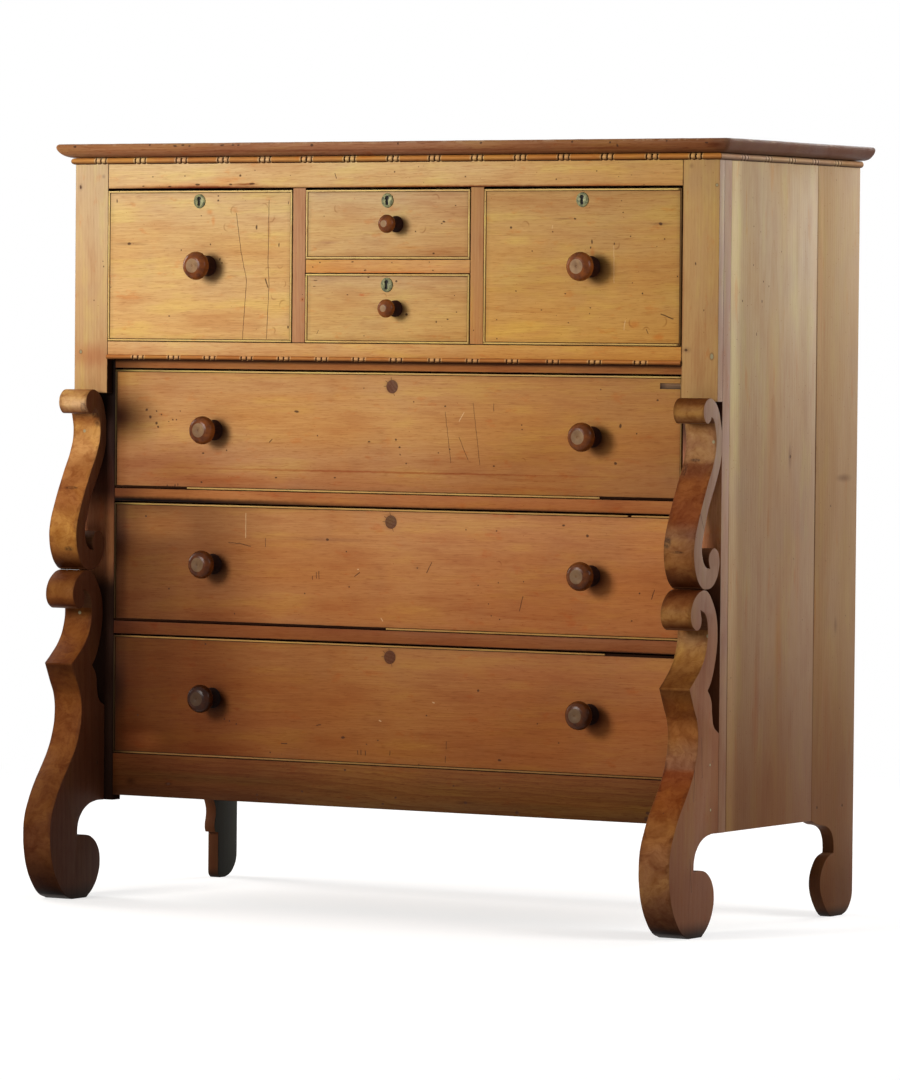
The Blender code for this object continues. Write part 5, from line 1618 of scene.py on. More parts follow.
def dressScroll(scroll, materials):
    # veneer in front, plain wood on the two sides, and dark wood in the hollows behind, which
    # paints their shade
    def isHidden(face):
        # wood of the same scroll stands in front of it
        start = face.center + face.normal * 0.5 * millimetre
        return scroll.ray_cast(start, Vector((0, -1, 0)))[0]

    scroll.data.materials.clear()
    for material in materials:
        scroll.data.materials.append(material)
    noteLean(scroll)
    for face in scroll.data.polygons:
        if abs(face.normal.x) > 0.8:
            face.material_index = 1 if face.normal.x * face.center.x > 0 else 2
        elif face.normal.y > 0.12 or face.normal.z < -0.85 or isHidden(face):
            face.material_index = 3
        else:
            face.material_index = 0


def makeScrolls():
    sides = [makePine("scrollOuterSide", scrollLooks["outer"]),
             makePine("scrollInnerSide", scrollLooks["inner"]),
             makePine("scrollHollow", scrollLooks["hollow"])]
    for side in ("left", "right"):
        veneer = makeVeneer(f"scrollVeneer_{side}", side)
        for level, outline in (("upper", upperScroll), ("lower", lowerScroll)):
            node = f"{level}_scroll_{side}"
            name = f"{level}Scroll_{side}"
            scroll = sidePlate(name, outline, node, scrollLooks["edge"], scrollLooks["facets"])
            if level == "lower":
                # the two rolls touch
                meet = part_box(f"upper_scroll_{side}")[0].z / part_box(node)[1].z
                placeMesh(scroll, Matrix.Diagonal((1, 1, meet, 1)))
            finishPiece(scroll, None, "case", [node])
            dressScroll(scroll, [veneer, *sides])


makeScrolls()
print("scrolls done")


# corner posts and rear boards, which run down as the rear feet
rearFootBack = ((0, 48, 1), (1.5, 28, 0), (8.5, 15, 0), (19, 5.5, 0), (35, 0, 1))
rearFootLobe = (
    (70.4, 0, 1), (79.5, 5, 0), (91.6, 16.7, 0), (101.6, 30.3, 0), (107.4, 42.4, 0), (109, 56, 0),
    (106, 69, 0), (98, 81.5, 0), (87, 92, 0), (65, 99.3, 1),
)
rearFootWorn = ((50, 0, 1), (55.5, 5, 0), (57, 12, 1), (57, 75, 1), (66, 76, 1), (68.5, 84, 0))
rearFootCove = (
    (64.6, 108, 0), (66.6, 120, 0), (72.5, 131, 0), (84, 139.5, 0), (100, 144, 0), (118, 146.5, 0),
    (140, 153.5, 1),
)
uprightLooks = {
    "rear": {
        **woodKinds["side"],
        "tones": (
            (0, (0.02, 0.012, 0.008)), (0.02, (0.106, 0.042, 0.017)), (0.15, (0.175, 0.084, 0.039)),
            (0.55, (0.3, 0.184, 0.096)), (1.12, (0.425, 0.292, 0.158)),
        ),
        "growth": 0.2, "blotch": 0.3,
    },
    "rearMarks": {
        "spots": ((173, 173, 3, 3), (257, 172, 3, 3), (208, 640, 1.6, 2.4)),
        "stainsAndShade": (
            (250, 683, 36, 9, (0.55, 0.48, 0.48), 0.8), (229, 454, 7, 20, knotGrey, 0.8),
            (200, 330, 12, 120, (0.95, 0.8, 0.68), 0.5), (156, 700, 3.4, 600, (0.34, 0.24, 0.2), 1),
            (168, 1000, 9, 300, (1.12, 1.08, 1.12), 0.8),
        ),
    },
    "heart": {"left": (-0.55, 0.3, 0.6), "right": (0.545, 0.16, 0.6)},
    # the inner face and front edge of a rear foot, made dark as painted shade
    "inside": {
        **woodKinds["side"], "grey": 0.2, "cloud": 0.3,
        "tones": (
            (0, (0.016, 0.015, 0.012)), (0.15, (0.026, 0.025, 0.019)), (0.25, (0.16, 0.09, 0.05)),
        ),
    },
    "edge": {
        **woodKinds["side"], "plane": "XZ",
        "tones": (
            (0, (0.02, 0.012, 0.008)), (0.02, (0.075, 0.028, 0.011)), (0.15, (0.115, 0.04, 0.015)),
        ),
    },
}


def makeRearBoard(side, foot, inside, edge):
    node = f"rear_board_{side}"
    low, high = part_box(node)
    top = (high.z - low.z) / millimetre
    outline = rearFootBack + foot + rearFootCove + ((140.0, top, 1), (0.0, top, 1))
    board = sidePlate(f"rearBoard_{side}", outline, node, 0.8 * millimetre, 5)
    marks = uprightLooks["rearMarks"] if side == "right" else {}
    look = {**uprightLooks["rear"], "heart": uprightLooks["heart"][side], **marks}
    finishPiece(board, makePine(f"rearPine_{side}", look), "case", [node])
    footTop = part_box("base_rail")[0].z

    def footFront(face):
        return face.normal.y < -0.3 and face.center.z < footTop and not facesInwards(face)

    paintFaces(board, inside, facesInwards)
    paintFaces(board, edge, footFront)


def makePost(side):
    # full width behind the scrolls, narrower above the frame's lower rail
    node = f"corner_post_{side}"
    low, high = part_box(node)
    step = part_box("lower_frame_rail")[1].z
    stileLow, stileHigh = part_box(f"upper_stile_{side}")
    if side == "left":
        outer, inner, narrow = low.x, high.x, stileHigh.x
    else:
        outer, inner, narrow = high.x, low.x, stileLow.x
    points = [
        (inner, low.z, 1), (outer, low.z, 1), (outer, high.z, 1),
        (narrow, high.z, 1), (narrow, step, 1), (inner, step, 1),
    ]
    post = makePlate(f"cornerPost_{side}", points, high.y - low.y, 0.9 * millimetre, 1)
    placeMesh(post, outwards)
    fitToNode(post, node)
    finishPiece(post, postWood[side], "case", [node])
    paintGapShade(post, "upright")
    paintFaces(post, postSideWood, facesOutwards)


outwards = Matrix.Rotation(math.radians(90), 4, "X")  # turns what is up to the front
footWoods = (
    makePine("rearInside", uprightLooks["inside"]), makePine("rearEdge", uprightLooks["edge"])
)
for side, foot in (("left", rearFootWorn), ("right", rearFootLobe)):
    makeRearBoard(side, foot, *footWoods)
    makePost(side)
print("posts and rear boards done")


# top board
topLooks = {
    # share of the overhang, share of the thickness
    "nose": (
        (0, 0), (0.16, 0.025), (0.3, 0.06), (0.44, 0.11), (0.56, 0.17), (0.67, 0.25), (0.77, 0.34),
        (0.85, 0.43), (0.91, 0.52), (0.955, 0.6), (0.985, 0.68), (1, 0.76), (0.99, 0.84),
        (0.955, 0.91), (0.89, 0.965), (0.8, 1),
    ),
    "undercut": 19 * millimetre,
    "cornerRadius": 5 * millimetre,
    "wave": 0.5 * millimetre,
    "waveLength": 0.09,
    "dent": 0.5 * millimetre,
    "dentLength": 0.011,
    "cutsAcross": 240,
    "cutsDeep": 90,
}


def roughen(piece, name, strength, size):
    clouds = bpy.data.textures.new(name, "CLOUDS")
    clouds.noise_scale = size
    clouds.noise_depth = 1
    wave = piece.modifiers.new(name, "DISPLACE")
    wave.texture = clouds
    wave.texture_coords = "LOCAL"
    wave.strength = strength
    wave.mid_level = 0.5


def cutEdges(piece, cuts, wanted):
    selectEdges(piece, wanted)
    bpy.ops.mesh.subdivide(number_cuts=cuts)
    leaveEdit()


def makeTop():
    # rings of the nose on top of each other, then cut finely enough to be uneven
    low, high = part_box("top_board")
    deselectAll()
    bpy.ops.mesh.primitive_plane_add(size=1)
    board = bpy.context.object
    board.name = "topBoard"
    rings = []
    for share, height in topLooks["nose"]:
        inset = (1 - share) * topLooks["undercut"]
        level = low.z + height * (high.z - low.z)
        rings.append((high.x - inset, high.y - (low.y + inset), level))
    half, depth, level = rings[0]
    placeMesh(board, Matrix.Translation((0, high.y - depth / 2, level))
              @ Matrix.Diagonal((2 * half, depth, 1, 1)))
    startEdit(board, "FACE", True)
    for nextHalf, nextDepth, nextLevel in rings[1:]:
        bpy.ops.mesh.extrude_region_move(
            TRANSFORM_OT_translate={"value": (0, 0, nextLevel - level)}
        )
        bpy.ops.transform.resize(
            value=(nextHalf / half, nextDepth / depth, 1),
            center_override=(0, high.y, nextLevel),
        )
        half, depth, level = nextHalf, nextDepth, nextLevel
    faceOutwards()

    def isFrontCorner(a, b):
        return abs(a.z - b.z) > 1e-5 and max(a.y, b.y) < high.y - 0.1

    selectEdges(board, isFrontCorner)
    bpy.ops.mesh.bevel(offset=topLooks["cornerRadius"], segments=4, affect="EDGES")
    leaveEdit()
    cutEdges(board, topLooks["cutsAcross"],
             lambda a, b: abs(a.x - b.x) > 0.5 and abs(a.y - b.y) < 0.01)
    cutEdges(board, topLooks["cutsDeep"],
             lambda a, b: abs(a.y - b.y) > 0.3 and abs(a.x - b.x) < 0.01)
    roughen(board, "topWave", topLooks["wave"], topLooks["waveLength"])
    roughen(board, "topDents", topLooks["dent"], topLooks["dentLength"])
    applyAll(board)
    smoothByAngle(board, 50)
    fitToNode(board, "top_board")
    finishPiece(board, topWood, "case", ["top_board"])
    noteLean(board)


topWood = makePine("topPine", {
    # darker downwards, as painted shade under the round of the nose; the ramp darkens the right
    # end, as painted falloff of the light
    "tones": (
        (1.176, (0.17, 0.076, 0.038)), (1.184, (0.31, 0.137, 0.061)), (1.19, (0.35, 0.162, 0.073)),
        (1.1985, (0.43, 0.22, 0.1)),
    ),
    "across": (
        (-0.61, (1, 1, 1)), (0, (0.98, 1.02, 1.25)), (0.4, (0.8, 0.78, 0.74)),
        (0.57, (0.66, 0.6, 0.58)), (0.6, (0.5, 0.5, 0.66)), (0.611, (0.38, 0.43, 0.68)),
    ),
    "heart": (0.2, 0.05, 1.1), "rough": 0.4,
    "growth": 0.3, "fibre": 0.48, "dash": 0.8, "cloud": 0.7, "scuff": 0.6,
    "worn": (1.1935, 1.198, 0.45), "speckShare": 0.26, "freckleShare": 0.34,
    "spots": (
        (-572, 1194, 4, 2.2), (-429, 1195, 2.4, 2), (-381, 1193.5, 5, 1.8), (-366, 1194.5, 4, 1.6),
        (-354, 1193, 2.6, 1.6), (-292, 1194, 5, 1.8), (-272, 1194.5, 4, 1.6),
        (-262, 1193.6, 3, 1.6), (-126, 1193, 3.6, 3.2), (31, 1194, 2, 2.4), (180, 1194, 3, 2.2),
        (341, 1194, 2.6, 2.4), (407, 1192.6, 2.4, 2), (419, 1188, 2.4, 3.2), (505, 1194, 2, 2),
        (573, 1191, 4, 1.8),
    ),
    "stainsAndShade": (
        (586, 1188, 22, 7, (0.6, 0.42, 0.28), 0.9),
        (-180, 1184.5, 260, 2.6, (0.66, 0.48, 0.44), 0.8),
        (120, 1183.8, 200, 2.4, (0.66, 0.48, 0.44), 0.8),
        (400, 1184.5, 120, 2.8, (0.66, 0.48, 0.4), 0.8),
        (-420, 1189.5, 150, 2.6, (1.14, 1.18, 1.16), 0.8),
        (60, 1190, 240, 2.4, (1.14, 1.16, 1.12), 0.7),
    ),
})
makeTop()
print("top done")


# bead-and-reel trim
trimLooks = {
    # right half of a group: place along the bar in bead widths, share of the radius
    "beads": (
        (0, 0.5), (0.09, 0.74), (0.21, 0.92), (0.38, 1), (0.62, 1), (0.79, 0.92), (0.91, 0.74),
        (1, 0.5), (1.09, 0.84), (1.19, 0.97), (1.32, 1),
    ),
    "steps": 28,
    # node: the way it faces, bead width, places of the groups from its end in millimetres
    "top_trim_front": ("front", 9.6 * millimetre, (
        56.6, 132, 209.7, 288.2, 366.3, 443.4, 522.8, 601.5,
        676.9, 753.3, 829.9, 906.4, 982.7, 1060.5, 1135.9)),
    "mid_trim": ("front", 10 * millimetre, (
        60.5, 128.4, 196.5, 265.7, 334.9, 404.7, 473.1,
        541.4, 610.9, 678.7, 749.7, 821.7, 895.1, 974.5)),
    "top_trim_right": ("side", 9.4 * millimetre, (75.2, 150.9, 226.5, 302.2, 377.9)),
    "top_trim_left": ("side", 9.4 * millimetre, (75.2, 150.9, 226.5, 302.2, 377.9)),
    "frontWood": {
        "tones": ((0.85, (0.5, 0.215, 0.065)), (1.2, (0.6, 0.285, 0.085))),
        "across": ((-0.6, (1, 1, 1)), (0.6, (0.92, 0.82, 0.62))), "speckShare": 0.12,
        # painted shade on the bar's round: turned-down faces dark, turned-up ones darker
        "lean": ((0.07, 0.035, 0.025), (0.8, 0.74, 0.68)),
    },
    "sideWood": {
        "grain": "Y", "plane": "YZ",
        "tones": ((0.85, (0.38, 0.225, 0.125)), (1.2, (0.44, 0.275, 0.155))),
        # painted shade on the bar's round: turned-down faces dark, turned-up ones darker
        "speckShare": 0.12, "lean": ((0.12, 0.075, 0.06), (0.66, 0.6, 0.54)),
    },
    "wornReach": 1.3,  # bead widths from the middle of a group
    "wornFrom": 0.8,  # share of the radius
    "rubbedAndHighlitTones": {
        "front": ((0.85, (0.7, 0.41, 0.19)), (1.2, (0.8, 0.52, 0.26))),
        "side": ((0.85, (0.48, 0.32, 0.2)), (1.2, (0.58, 0.4, 0.26))),
    },
}


def turnTrim(node):
    # half of a turned bar with groups of beads, laid along its CAD node
    direction, beadWidth, groups = trimLooks[node]
    low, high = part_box(node)
    axis = 0 if direction == "front" else 1
    length = high[axis] - low[axis]
    radius = (high.z - low.z) / 2
    level = (low.z + high.z) / 2
    half = trimLooks["beads"]
    beads = [(-place, share) for place, share in reversed(half[1:])] + list(half)
    profile = [(0.0, 0.0, 1), (radius, 0.0, 1)]
    for group in groups:
        middle = group * millimetre
        profile += [(radius * share, middle + place * beadWidth, 1) for place, share in beads]
    profile += [(radius, length, 1), (0.0, length, 1)]
    bar = turnPiece(f"trim_{node}", profile, trimLooks["steps"], 1)
    cutAway(bar, (0, 0, 0), (-1, 0, 0))
    if direction == "front":  # local X faces forwards and local Z runs to the right
        turn = Matrix(((0, 0, 1, low.x), (-1, 0, 0, high.y), (0, -1, 0, level), (0, 0, 0, 1)))
        heart, reach = Vector((0, high.y, level)), (0, 1, 1)
    elif low.x > 0:
        turn = Matrix(((1, 0, 0, low.x), (0, 0, 1, low.y), (0, -1, 0, level), (0, 0, 0, 1)))
        heart, reach = Vector((low.x, 0, level)), (1, 0, 1)
    else:
        turn = Matrix(((-1, 0, 0, high.x), (0, 0, 1, low.y), (0, 1, 0, level), (0, 0, 0, 1)))
        heart, reach = Vector((high.x, 0, level)), (1, 0, 1)
    placeMesh(bar, turn)
    # the three bars under the top meet in mitred corners
    mitres = {
        "top_trim_front": [
            ((side * (high.x - radius), high.y, level), (side, 1, 0)) for side in (-1, 1)
        ],
        "top_trim_right": [((low.x, low.y + radius, level), (-1, -1, 0))],
        "top_trim_left": [((high.x, low.y + radius, level), (1, -1, 0))],
    }
    for point, normal in mitres.get(node, ()):
        cutAway(bar, point, normal)
    startEdit(bar, "VERT", True)
    faceOutwards()
    smoothByAngle(bar, softAngle)
    noteLean(bar)
    return bar, heart, reach, radius


def makeTrim(node):
    direction, beadWidth, groups = trimLooks[node]
    bar, heart, reach, radius = turnTrim(node)
    look = {**trimLooks[direction + "Wood"], "turned": (tuple(heart), reach, radius)}
    finishPiece(bar, makePine(f"trimPine_{node}", look), "case", [node])
    axis = 0 if direction == "front" else 1
    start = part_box(node)[0][axis]
    wornReach = trimLooks["wornReach"] * beadWidth

    def isRubbedAndHighlit(face):
        along = face.center[axis] - start
        near = min(abs(along - group * millimetre) for group in groups) < wornReach
        fromAxis = ((face.center - heart) * Vector(reach)).length
        return near and fromAxis > trimLooks["wornFrom"] * radius

    # the round beads are paler than the long stretches between them: rubbed, and with a painted
    # highlight on their round
    rubbed = {**look, "tones": trimLooks["rubbedAndHighlitTones"][direction]}
    paintFaces(bar, makePine(f"trimBeads_{node}", rubbed), isRubbedAndHighlit)


for node in ("top_trim_front", "mid_trim", "top_trim_right", "top_trim_left"):
    makeTrim(node)
print("trim done")


# cock beading round the drawers: the lost stretches of each strip, by place across
beadGaps = {
    ("long_1", "bottom"): ((-0.516, -0.378), (0.374, 0.516)),
    ("long_2", "top"): ((0.424, 0.43),),
    ("long_2", "bottom"): ((-0.516, -0.006),),
    ("long_3", "top"): ((0.386, 0.516),),
}


def beadStrips(low, high, label):
    # each strip is (low, high) with the lost stretches left out
    width = frontSizes["bead"]
    inner = width + 0.2 * millimetre
    strips = []
    for edge in ("top", "bottom"):
        bottom = high.z - width if edge == "top" else low.z
        gaps = beadGaps.get((label, edge), ())
        starts = [low.x, *(gapHigh for gapLow, gapHigh in gaps)]
        ends = [*(gapLow for gapLow, gapHigh in gaps), high.x]
        for start, end in zip(starts, ends):
            if end - start > 2 * millimetre:
                strips.append(((start, low.y, bottom), (end, high.y, bottom + width)))
    for start in (low.x, high.x - width):
        strips.append(((start, low.y, low.z + inner), (start + width, high.y, high.z - inner)))
    return strips


def makeBeads(label):
    low, high = (place.copy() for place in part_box(f"drawer_front_{label}"))
    high.y = low.y + frontSizes["rise"] + frontSizes["rebate"]
    strips = [
        startBox(f"bead_{label}_{number}", start, end)
        for number, (start, end) in enumerate(beadStrips(low, high, label))
    ]
    beads = joinPieces(f"beads_{label}", strips)
    roundEdges(beads, 0.9 * millimetre, 3)
    wood = beadWood if label.startswith("long") else upperBeadWood
    finishPiece(beads, wood, f"drawer_{label}")


beadKind = {
    "growth": 0.06, "fibre": 0.2, "cloud": 0.3, "specksPerMetre": 90, "speckShare": 0.3,
}
beadWood = makePine("beadPine", {
    **beadKind,
    # the tones paint the light's falloff downwards as well as the wood's colour, and the ramp the
    # shade at the drawers' two ends
    "tones": (
        (0.22, (0.28, 0.15, 0.05)), (0.5, (0.46, 0.27, 0.085)), (0.8, (0.62, 0.42, 0.15)),
        (1.13, (0.82, 0.62, 0.27)),
    ),
    "across": (
        (-0.517, (0.05, 0.045, 0.05)), (-0.513, (0.1, 0.09, 0.09)), (-0.46, (0.7, 0.7, 0.7)),
        (-0.3, (1, 1, 1)), (0.51, (0.92, 0.85, 0.8)), (0.516, (0.16, 0.11, 0.09)),
    ),
})
upperBeadWood = makePine("upperBeadPine", {
    **beadKind,
    "tones": ((0.88, (0.7, 0.5, 0.19)), (1.13, (0.82, 0.62, 0.27))),
    # the ramp paints the shade at the right end
    "across": ((-0.52, (1, 1, 1)), (0.512, (0.86, 0.78, 0.62)), (0.517, (0.16, 0.11, 0.08))),
})
for label in drawerLooks:
    makeBeads(label)
print("beads done")


# knobs: (radius, height above the drawer, sharp) in millimetres, from the tip to the base
largeKnob = (
    (0, 45.3, 1), (0.9, 45.4, 0), (1.6, 45.8, 1), (11.2, 46, 1), (12.2, 45.8, 0), (15.4, 44.9, 0),
    (18.9, 42.2, 0), (21.3, 38.2, 0), (22.3, 33.8, 0), (21.2, 29.4, 0), (18, 26, 0),
    (14.2, 24.4, 1), (13.5, 23.6, 1), (14.4, 22.6, 0), (14.5, 21.2, 0), (14.1, 20.4, 1),
    (14, 18.2, 0), (13.8, 15.2, 0), (13.8, 12, 0), (14.2, 8, 0), (15.4, 3.6, 0), (16.3, 1.2, 0),
    (16.4, 0, 1), (0, 0, 1),
)
smallKnob = (
    (0, 37.8, 1), (0.7, 37.9, 0), (1.2, 38, 1), (5.4, 37.9, 1), (6.4, 37.7, 0), (9.6, 36.2, 0),
    (12.5, 33.2, 0), (14.3, 28.6, 0), (13.4, 24.2, 0), (10.6, 20.8, 0), (7.6, 19.2, 1),
    (8.4, 18.4, 0), (8.2, 17.4, 0), (7, 16.6, 1), (6.6, 13.6, 0), (7.4, 10.4, 0), (9.6, 7, 0),
    (12.2, 4, 0), (12.8, 1, 0), (12.8, 0, 1), (0, 0, 1),
)
knobLooks = {
    # profile, radius of the bare end of the wood
    "large": (largeKnob, 11.2 * millimetre),
    "small": (smallKnob, 5.4 * millimetre),
}
knobTurn = 61  # degrees for each letter of the name, so that they don't all look alike


def modelKnob(size):
    profile, endRadius = knobLooks[size]
    model = turnPiece(f"{size}KnobModel", inMetres(profile), 48, 4)
    tip = max(corner.co.z for corner in model.data.vertices)
    proud = model.data.attributes.new("proud", "FLOAT", "POINT")
    proud.data.foreach_set("value", [corner.co.z / tip for corner in model.data.vertices])
    placeMesh(model, outwards)
    model.data.materials.append(knobWood)

    def onTip(face):
        fromAxis = math.hypot(face.center.x, face.center.z)
        return face.normal.y < -0.9 and fromAxis < endRadius

    paintFaces(model, knobEnd, onTip)
    return model


def makeKnobs():
    models = {size: modelKnob(size) for size in knobLooks}
    for label, nodes in knobNodes.items():
        model = models["small" if label.startswith("small") else "large"]
        for node in nodes:
            low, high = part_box(node)
            base = ((low.x + high.x) / 2, high.y + 0.3 * millimetre, (low.z + high.z) / 2)
            turned = Matrix.Rotation(math.radians(knobTurn * len(node) % 360), 4, "Y")
            name = "turned" + node.title().replace("_", "")
            knob = copyPiece(model, name, Matrix.Translation(base) @ turned)
            finishPiece(knob, None, f"drawer_{label}", [node])
    for model in models.values():
        removePiece(model)


def makeKnobWood(name, pale, dark, rough):
    material, tree, shader = newMaterial(name)
    coords = pieceCoords(tree)
    parts = splitVector(tree, coords)
    streak = drawnNoise(tree, coords, (90.0, 14.0, 90.0), 4.0, 0.6)
    patch = noise(tree, coords, 26.0)
    # dirt and painted shade where no hand reaches and the head shades: the neck and the foot of the
    # knob
    dirtAndShade = remap(tree, meshValue(tree, "proud"), 0.6, 0.42)
    # painted shade: knobs lower down, and the lower left ones most, are made darker, as the light
    # falls off there
    lowLeft = times(
        tree, remap(tree, parts[0], -0.1, -0.3), remap(tree, parts[2], 0.75, 0.3)
    )
    tone = mixColour(tree, remap(tree, streak, 0.35, 0.68), pale, dark)
    for mask, colour in (
        (remap(tree, patch, 0.42, 0.66), (0.72, 0.66, 0.62)),
        (dirtAndShade, (0.12, 0.08, 0.075)),
        (remap(tree, parts[2], 0.95, 0.3), (0.42, 0.41, 0.42)),
        (lowLeft, (0.42, 0.36, 0.32)),
    ):
        tone = tint(tree, mask, tone, colour)
    worn = remap(tree, patch, 0.3, 0.7, rough - 0.03, rough + 0.05)
    fillInputs(tree, shader.inputs, {
        "Base Color": tone,
        "Roughness": calc(tree, "MAXIMUM", worn, times(tree, dirtAndShade, 0.7)),
        "Normal": bump(tree, streak, 0.15, 0.4 * millimetre),
        "Specular IOR Level": 0.12,
    })
    return material


knobWood = makeKnobWood("knobWood", (0.24, 0.066, 0.012), (0.105, 0.029, 0.008), 0.24)
# the flat end is paler: bare end grain, with a painted reflection of the room on its polish
knobEnd = makeKnobWood("knobEnd", (0.35, 0.205, 0.098), (0.25, 0.138, 0.068), 0.5)
makeKnobs()
print("knobs done")


# keyhole plates
plateLooks = {
    "dome": (
        (0, 2.6, 0), (4, 2.52, 0), (7.2, 2.28, 0), (9.2, 1.95, 1), (9.7, 1.6, 1), (10.3, 1.75, 0),
        (11.3, 1.4, 0), (11.9, 0.75, 0), (12, 0, 1), (0, 0, 1),
    ),
    # half of the keyhole, top to bottom: (half width, height from the middle)
    "keyhole": (
        (0, 7.3, 0), (2.6, 6.5, 0), (3.6, 4.4, 0), (2.9, 2.7, 0), (2.2, 1.8, 1), (2.4, -3, 1),
        (2.8, -4.8, 0), (2.2, -6.6, 0), (0, -7.2, 0),
    ),
    "nodes": ("upper_left", "upper_right", "small_upper", "small_lower"),
    "oval": (0.9, 0.94, 1, 1),
    "holeMargin": 0.6,
    "shift": 1.3 * millimetre,
}


def keyholeOutline(grow):
    right = [(x + (grow if x else 0), z, sharp) for x, z, sharp in plateLooks["keyhole"]]
    left = [(-x, z, sharp) for x, z, sharp in reversed(right) if x]
    return inMetres(right + left)


def modelPlate():
    # a turned dome with a keyhole cut through it
    dome = turnPiece("plateModel", inMetres(plateLooks["dome"]), 64, 4)
    placeMesh(dome, Matrix.Diagonal(plateLooks["oval"]))
    cutter = makePlate("keyholeCutter", keyholeOutline(0), 0.02, 0)
    cut = dome.modifiers.new("keyhole", "BOOLEAN")
    cut.operation = "DIFFERENCE"
    cut.solver = "EXACT"
    cut.object = cutter
    applyAll(dome)
    smoothByAngle(dome, softAngle)
    removePiece(cutter)
    return dome


def makePlates():
    dome = modelPlate()
    hole = makePlate("holeModel", keyholeOutline(plateLooks["holeMargin"]), 0.4 * millimetre, 0)
    for model in (dome, hole):
        placeMesh(model, outwards)
    for label in plateLooks["nodes"]:
        node = f"keyhole_plate_{label}"
        low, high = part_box(node)
        middle = (low.z + high.z) / 2 + plateLooks["shift"]
        place = Matrix.Translation(((low.x + high.x) / 2, high.y, middle))
        plate = copyPiece(dome, f"plate_{label}", place)
        finishPiece(plate, agedBrass, f"drawer_{label}", [node])
        # a near-black sheet in the keyhole paints the shade inside the hole
        dark = copyPiece(hole, f"keyhole_{label}", place)
        finishPiece(dark, keyholeShade, f"drawer_{label}")
    for model in (dome, hole):
        removePiece(model)


def makeBrass():
    material, tree, shader = newMaterial("agedBrass")
    coords = pieceCoords(tree)
    patina = remap(tree, noise(tree, coords, 160.0, 4.0, 0.6), 0.4, 0.62)
    spots = remap(tree, noise(tree, coords, 520.0), 0.55, 0.72)
    tone = mixColour(tree, patina, (0.235, 0.225, 0.085), (0.06, 0.065, 0.024))
    fillInputs(tree, shader.inputs, {
        "Base Color": mixColour(tree, spots, tone, (0.03, 0.035, 0.02)),
        "Roughness": remap(tree, patina, 0, 1, 0.46, 0.62),
        "Metallic": remap(tree, patina, 0, 1, 0.22, 0.06),
        "Normal": bump(tree, patina, 0.2, 0.2 * millimetre),
    })
    return material


def makeDark(name, colour):
    material, tree, shader = newMaterial(name)
    patch = noise(tree, pieceCoords(tree), 300.0)
    darker = [part * 0.4 for part in colour]
    tone = mixColour(tree, patch, colour, darker)
    fillInputs(tree, shader.inputs, {"Base Color": tone, "Roughness": 0.9})
    return material


agedBrass = makeBrass()
keyholeShade = makeDark("keyholeShade", (0.012, 0.009, 0.007))
makePlates()
print("keyhole plates done")


# plugs in the old keyholes and a let-in patch
plugLooks = {
    "profile": (
        (0, 0.35, 0), (6, 0.4, 0), (9.6, 0.3, 0), (10.5, 0, 0), (10.8, -1.5, 1), (0, -1.5, 1),
    ),
    "turn": 2.1,  # radians from one plug to the next
    "patch": ((477, 821), (514, 830)),
    "patchProud": 0.3 * millimetre,
    "patchDeep": 2 * millimetre,
}


def makePlugs():
    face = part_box("drawer_front_long_1")[0].y + frontSizes["rise"]
    model = turnPiece("plugModel", inMetres(plugLooks["profile"]), 40, 3)
    placeMesh(model, outwards)
    for number, (label, (x, z)) in enumerate(plugPlaces.items()):
        place = Matrix.Translation((x * millimetre, face, z * millimetre))
        turned = Matrix.Rotation(number * plugLooks["turn"], 4, "Y")
        plug = copyPiece(model, f"plug_{label}", place @ turned)
        finishPiece(plug, plugWood, f"drawer_{label}")
    removePiece(model)
    (lowX, lowZ), (highX, highZ) = plugLooks["patch"]
    low = (lowX * millimetre, face - plugLooks["patchProud"], lowZ * millimetre)
    high = (highX * millimetre, face + plugLooks["patchDeep"], highZ * millimetre)
    patch = makeBoard("letInPatch", low, high, 0.4 * millimetre)
    finishPiece(patch, patchWood, "drawer_long_1")


plugWood = makePine("plugPine", {
    "grain": "Y", "growth": 0.5, "dash": 0.8, "blotch": 0.9,
    "tones": ((0.35, (0.12, 0.05, 0.026)), (0.85, (0.16, 0.08, 0.05))),
})
patchWood = makePine("patchPine", {
    "tones": (
        (0.82, (0.05, 0.035, 0.025)), (0.8235, (0.14, 0.085, 0.048)), (0.8285, (0.24, 0.14, 0.075)),
        (0.8305, (0.08, 0.045, 0.025)),
    ),
    "across": (
        (0.477, (0.25, 0.22, 0.25)), (0.483, (0.6, 0.6, 0.65)), (0.49, (1, 1, 1)),
        (0.514, (1, 1, 1)),
    ),
    "growth": 0.4, "fibre": 0.5,
})
makePlugs()
print("plugs done")


# camera and light; the camera was fitted to the photograph
cameraLook = {
    "place": (5.1182, -8.442, 0.8961),
    "turn": (87.8798, -0.512, 31.1427),  # degrees
    "sensor": 36,
    "lens": 209.52,
    "shift": (0.0005, 0.0279),
    "sight": 60,
}


def addCamera():
    turn = [math.radians(angle) for angle in cameraLook["turn"]]
    bpy.ops.object.camera_add(location=cameraLook["place"], rotation=turn)
    camera = bpy.context.object
    camera.data.sensor_width = cameraLook["sensor"]
    camera.data.lens = cameraLook["lens"]
    camera.data.shift_x, camera.data.shift_y = cameraLook["shift"]
    camera.data.clip_end = cameraLook["sight"]
    bpy.context.scene.camera = camera


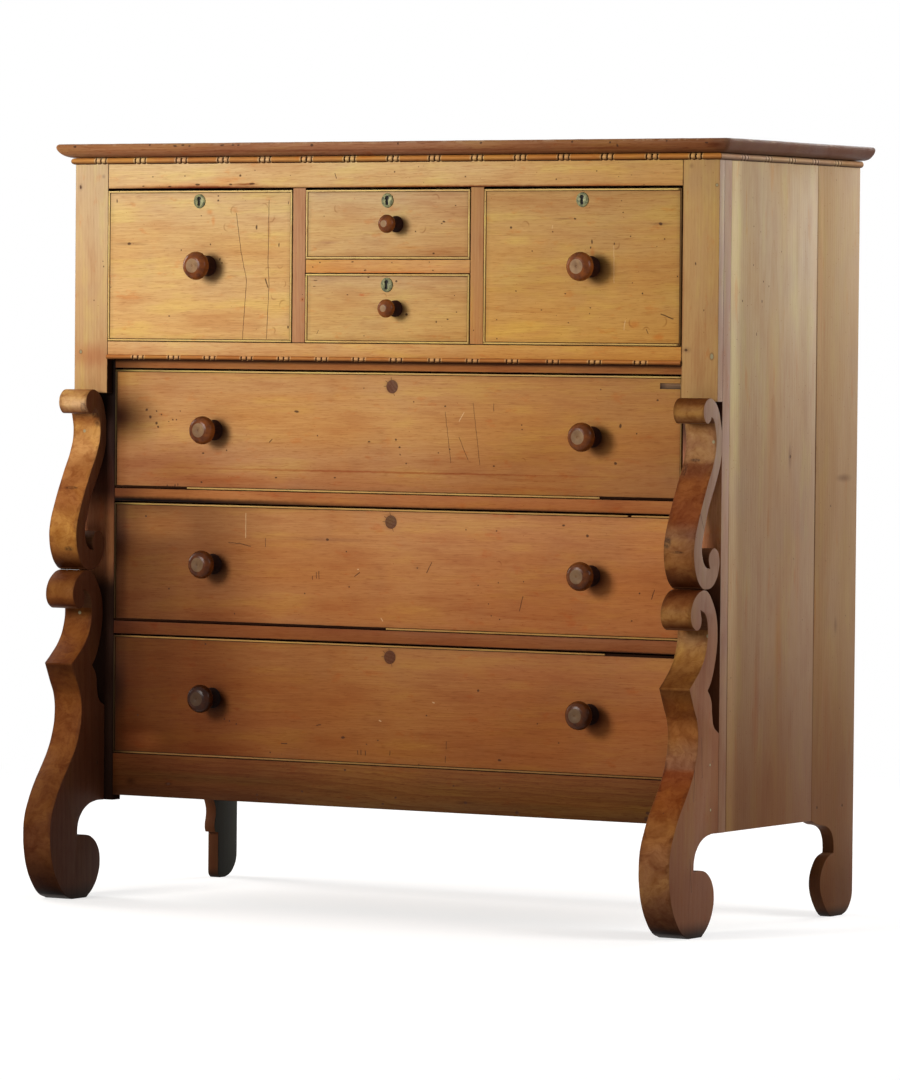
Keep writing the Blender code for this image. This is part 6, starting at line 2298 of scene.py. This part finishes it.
# name: place, what it is aimed at, size, power, colour
lampLooks = {
    "windowLight": ((-0.98, -2.95, 1.42), (0, -0.15, 0.75), 1, 74, (1, 0.98, 0.94)),
    "sideLight": ((3.2, 0.25, 1.9), (0.6, 0.1, 0.8), 1.6, 66, (0.97, 0.98, 1)),
    "otherSideLight": ((-3.2, 0.3, 1.8), (-0.6, 0, 0.8), 1.6, 70, (1, 1, 1)),
    "backLight": ((0.4, 3.4, 1.9), (0, 0.3, 0.6), 1.8, 80, (1, 1, 1)),
}


def addLamps():
    for name, (place, aim, size, power, colour) in lampLooks.items():
        bpy.ops.object.light_add(type="AREA", location=place)
        lamp = bpy.context.object
        lamp.name = name
        lamp.data.size = size
        lamp.data.energy = power
        lamp.data.color = colour
        towards = Vector(aim) - Vector(place)
        lamp.rotation_euler = towards.to_track_quat("-Z", "Y").to_euler()


def seenDirectly(tree):
    # 1 for rays that come from the camera, a mirror or glass
    path = addNode(tree, "ShaderNodeLightPath").outputs
    seen = calc(tree, "MAXIMUM", path["Is Camera Ray"], path["Is Glossy Ray"])
    return calc(tree, "MAXIMUM", seen, path["Is Transmission Ray"])


roomLooks = {
    "fill": 0.13,  # how much the pale room lights the wood
    "shown": 1,  # how bright it looks
    "floorSize": 60,
    "floorWood": (0.5, 0.49, 0.48),
    "floorGlow": 0.62,
    "floorFade": (1.2, 3.2),  # metres from the middle, where the floor turns white
}


def addWorld():
    world = bpy.data.worlds.new("paleRoom")
    bpy.context.scene.world = world
    world.use_nodes = True
    tree = world.node_tree
    strength = remap(tree, seenDirectly(tree), 0, 1, roomLooks["fill"], roomLooks["shown"])
    fillInputs(tree, tree.nodes["Background"].inputs, {"Color": (1, 1, 1), "Strength": strength})


def mixShader(tree, factor, under, over):
    inputs = {0: factor, 1: under, 2: over}
    return addNode(tree, "ShaderNodeMixShader", inputs).outputs[0]


def emission(tree, strength):
    inputs = {"Color": (1, 1, 1), "Strength": strength}
    return addNode(tree, "ShaderNodeEmission", inputs).outputs[0]


def addFloor():
    # a matt floor for the light, which to the camera fades into the white room
    deselectAll()
    bpy.ops.mesh.primitive_plane_add(size=roomLooks["floorSize"])
    floor = bpy.context.object
    floor.name = "floor"
    material, tree, shader = newMaterial("paleFloor")
    tree.nodes.remove(shader)
    away = vectorCalc(tree, "LENGTH", pieceCoords(tree))
    far = remap(tree, away, *roomLooks["floorFade"], smooth=True)
    matt = addNode(tree, "ShaderNodeBsdfDiffuse", {"Color": roomLooks["floorWood"]}).outputs[0]
    lit = addNode(tree, "ShaderNodeAddShader", {0: matt, 1: emission(tree, roomLooks["floorGlow"])})
    shown = mixShader(tree, far, lit.outputs[0], emission(tree, 1.0))
    both = mixShader(tree, seenDirectly(tree), matt, shown)
    fillInputs(tree, tree.nodes["Material Output"].inputs, {"Surface": both})
    floor.data.materials.append(material)


addCamera()
addLamps()
addWorld()
addFloor()
bpy.context.scene.view_settings.view_transform = "Standard"
print("camera and light done")
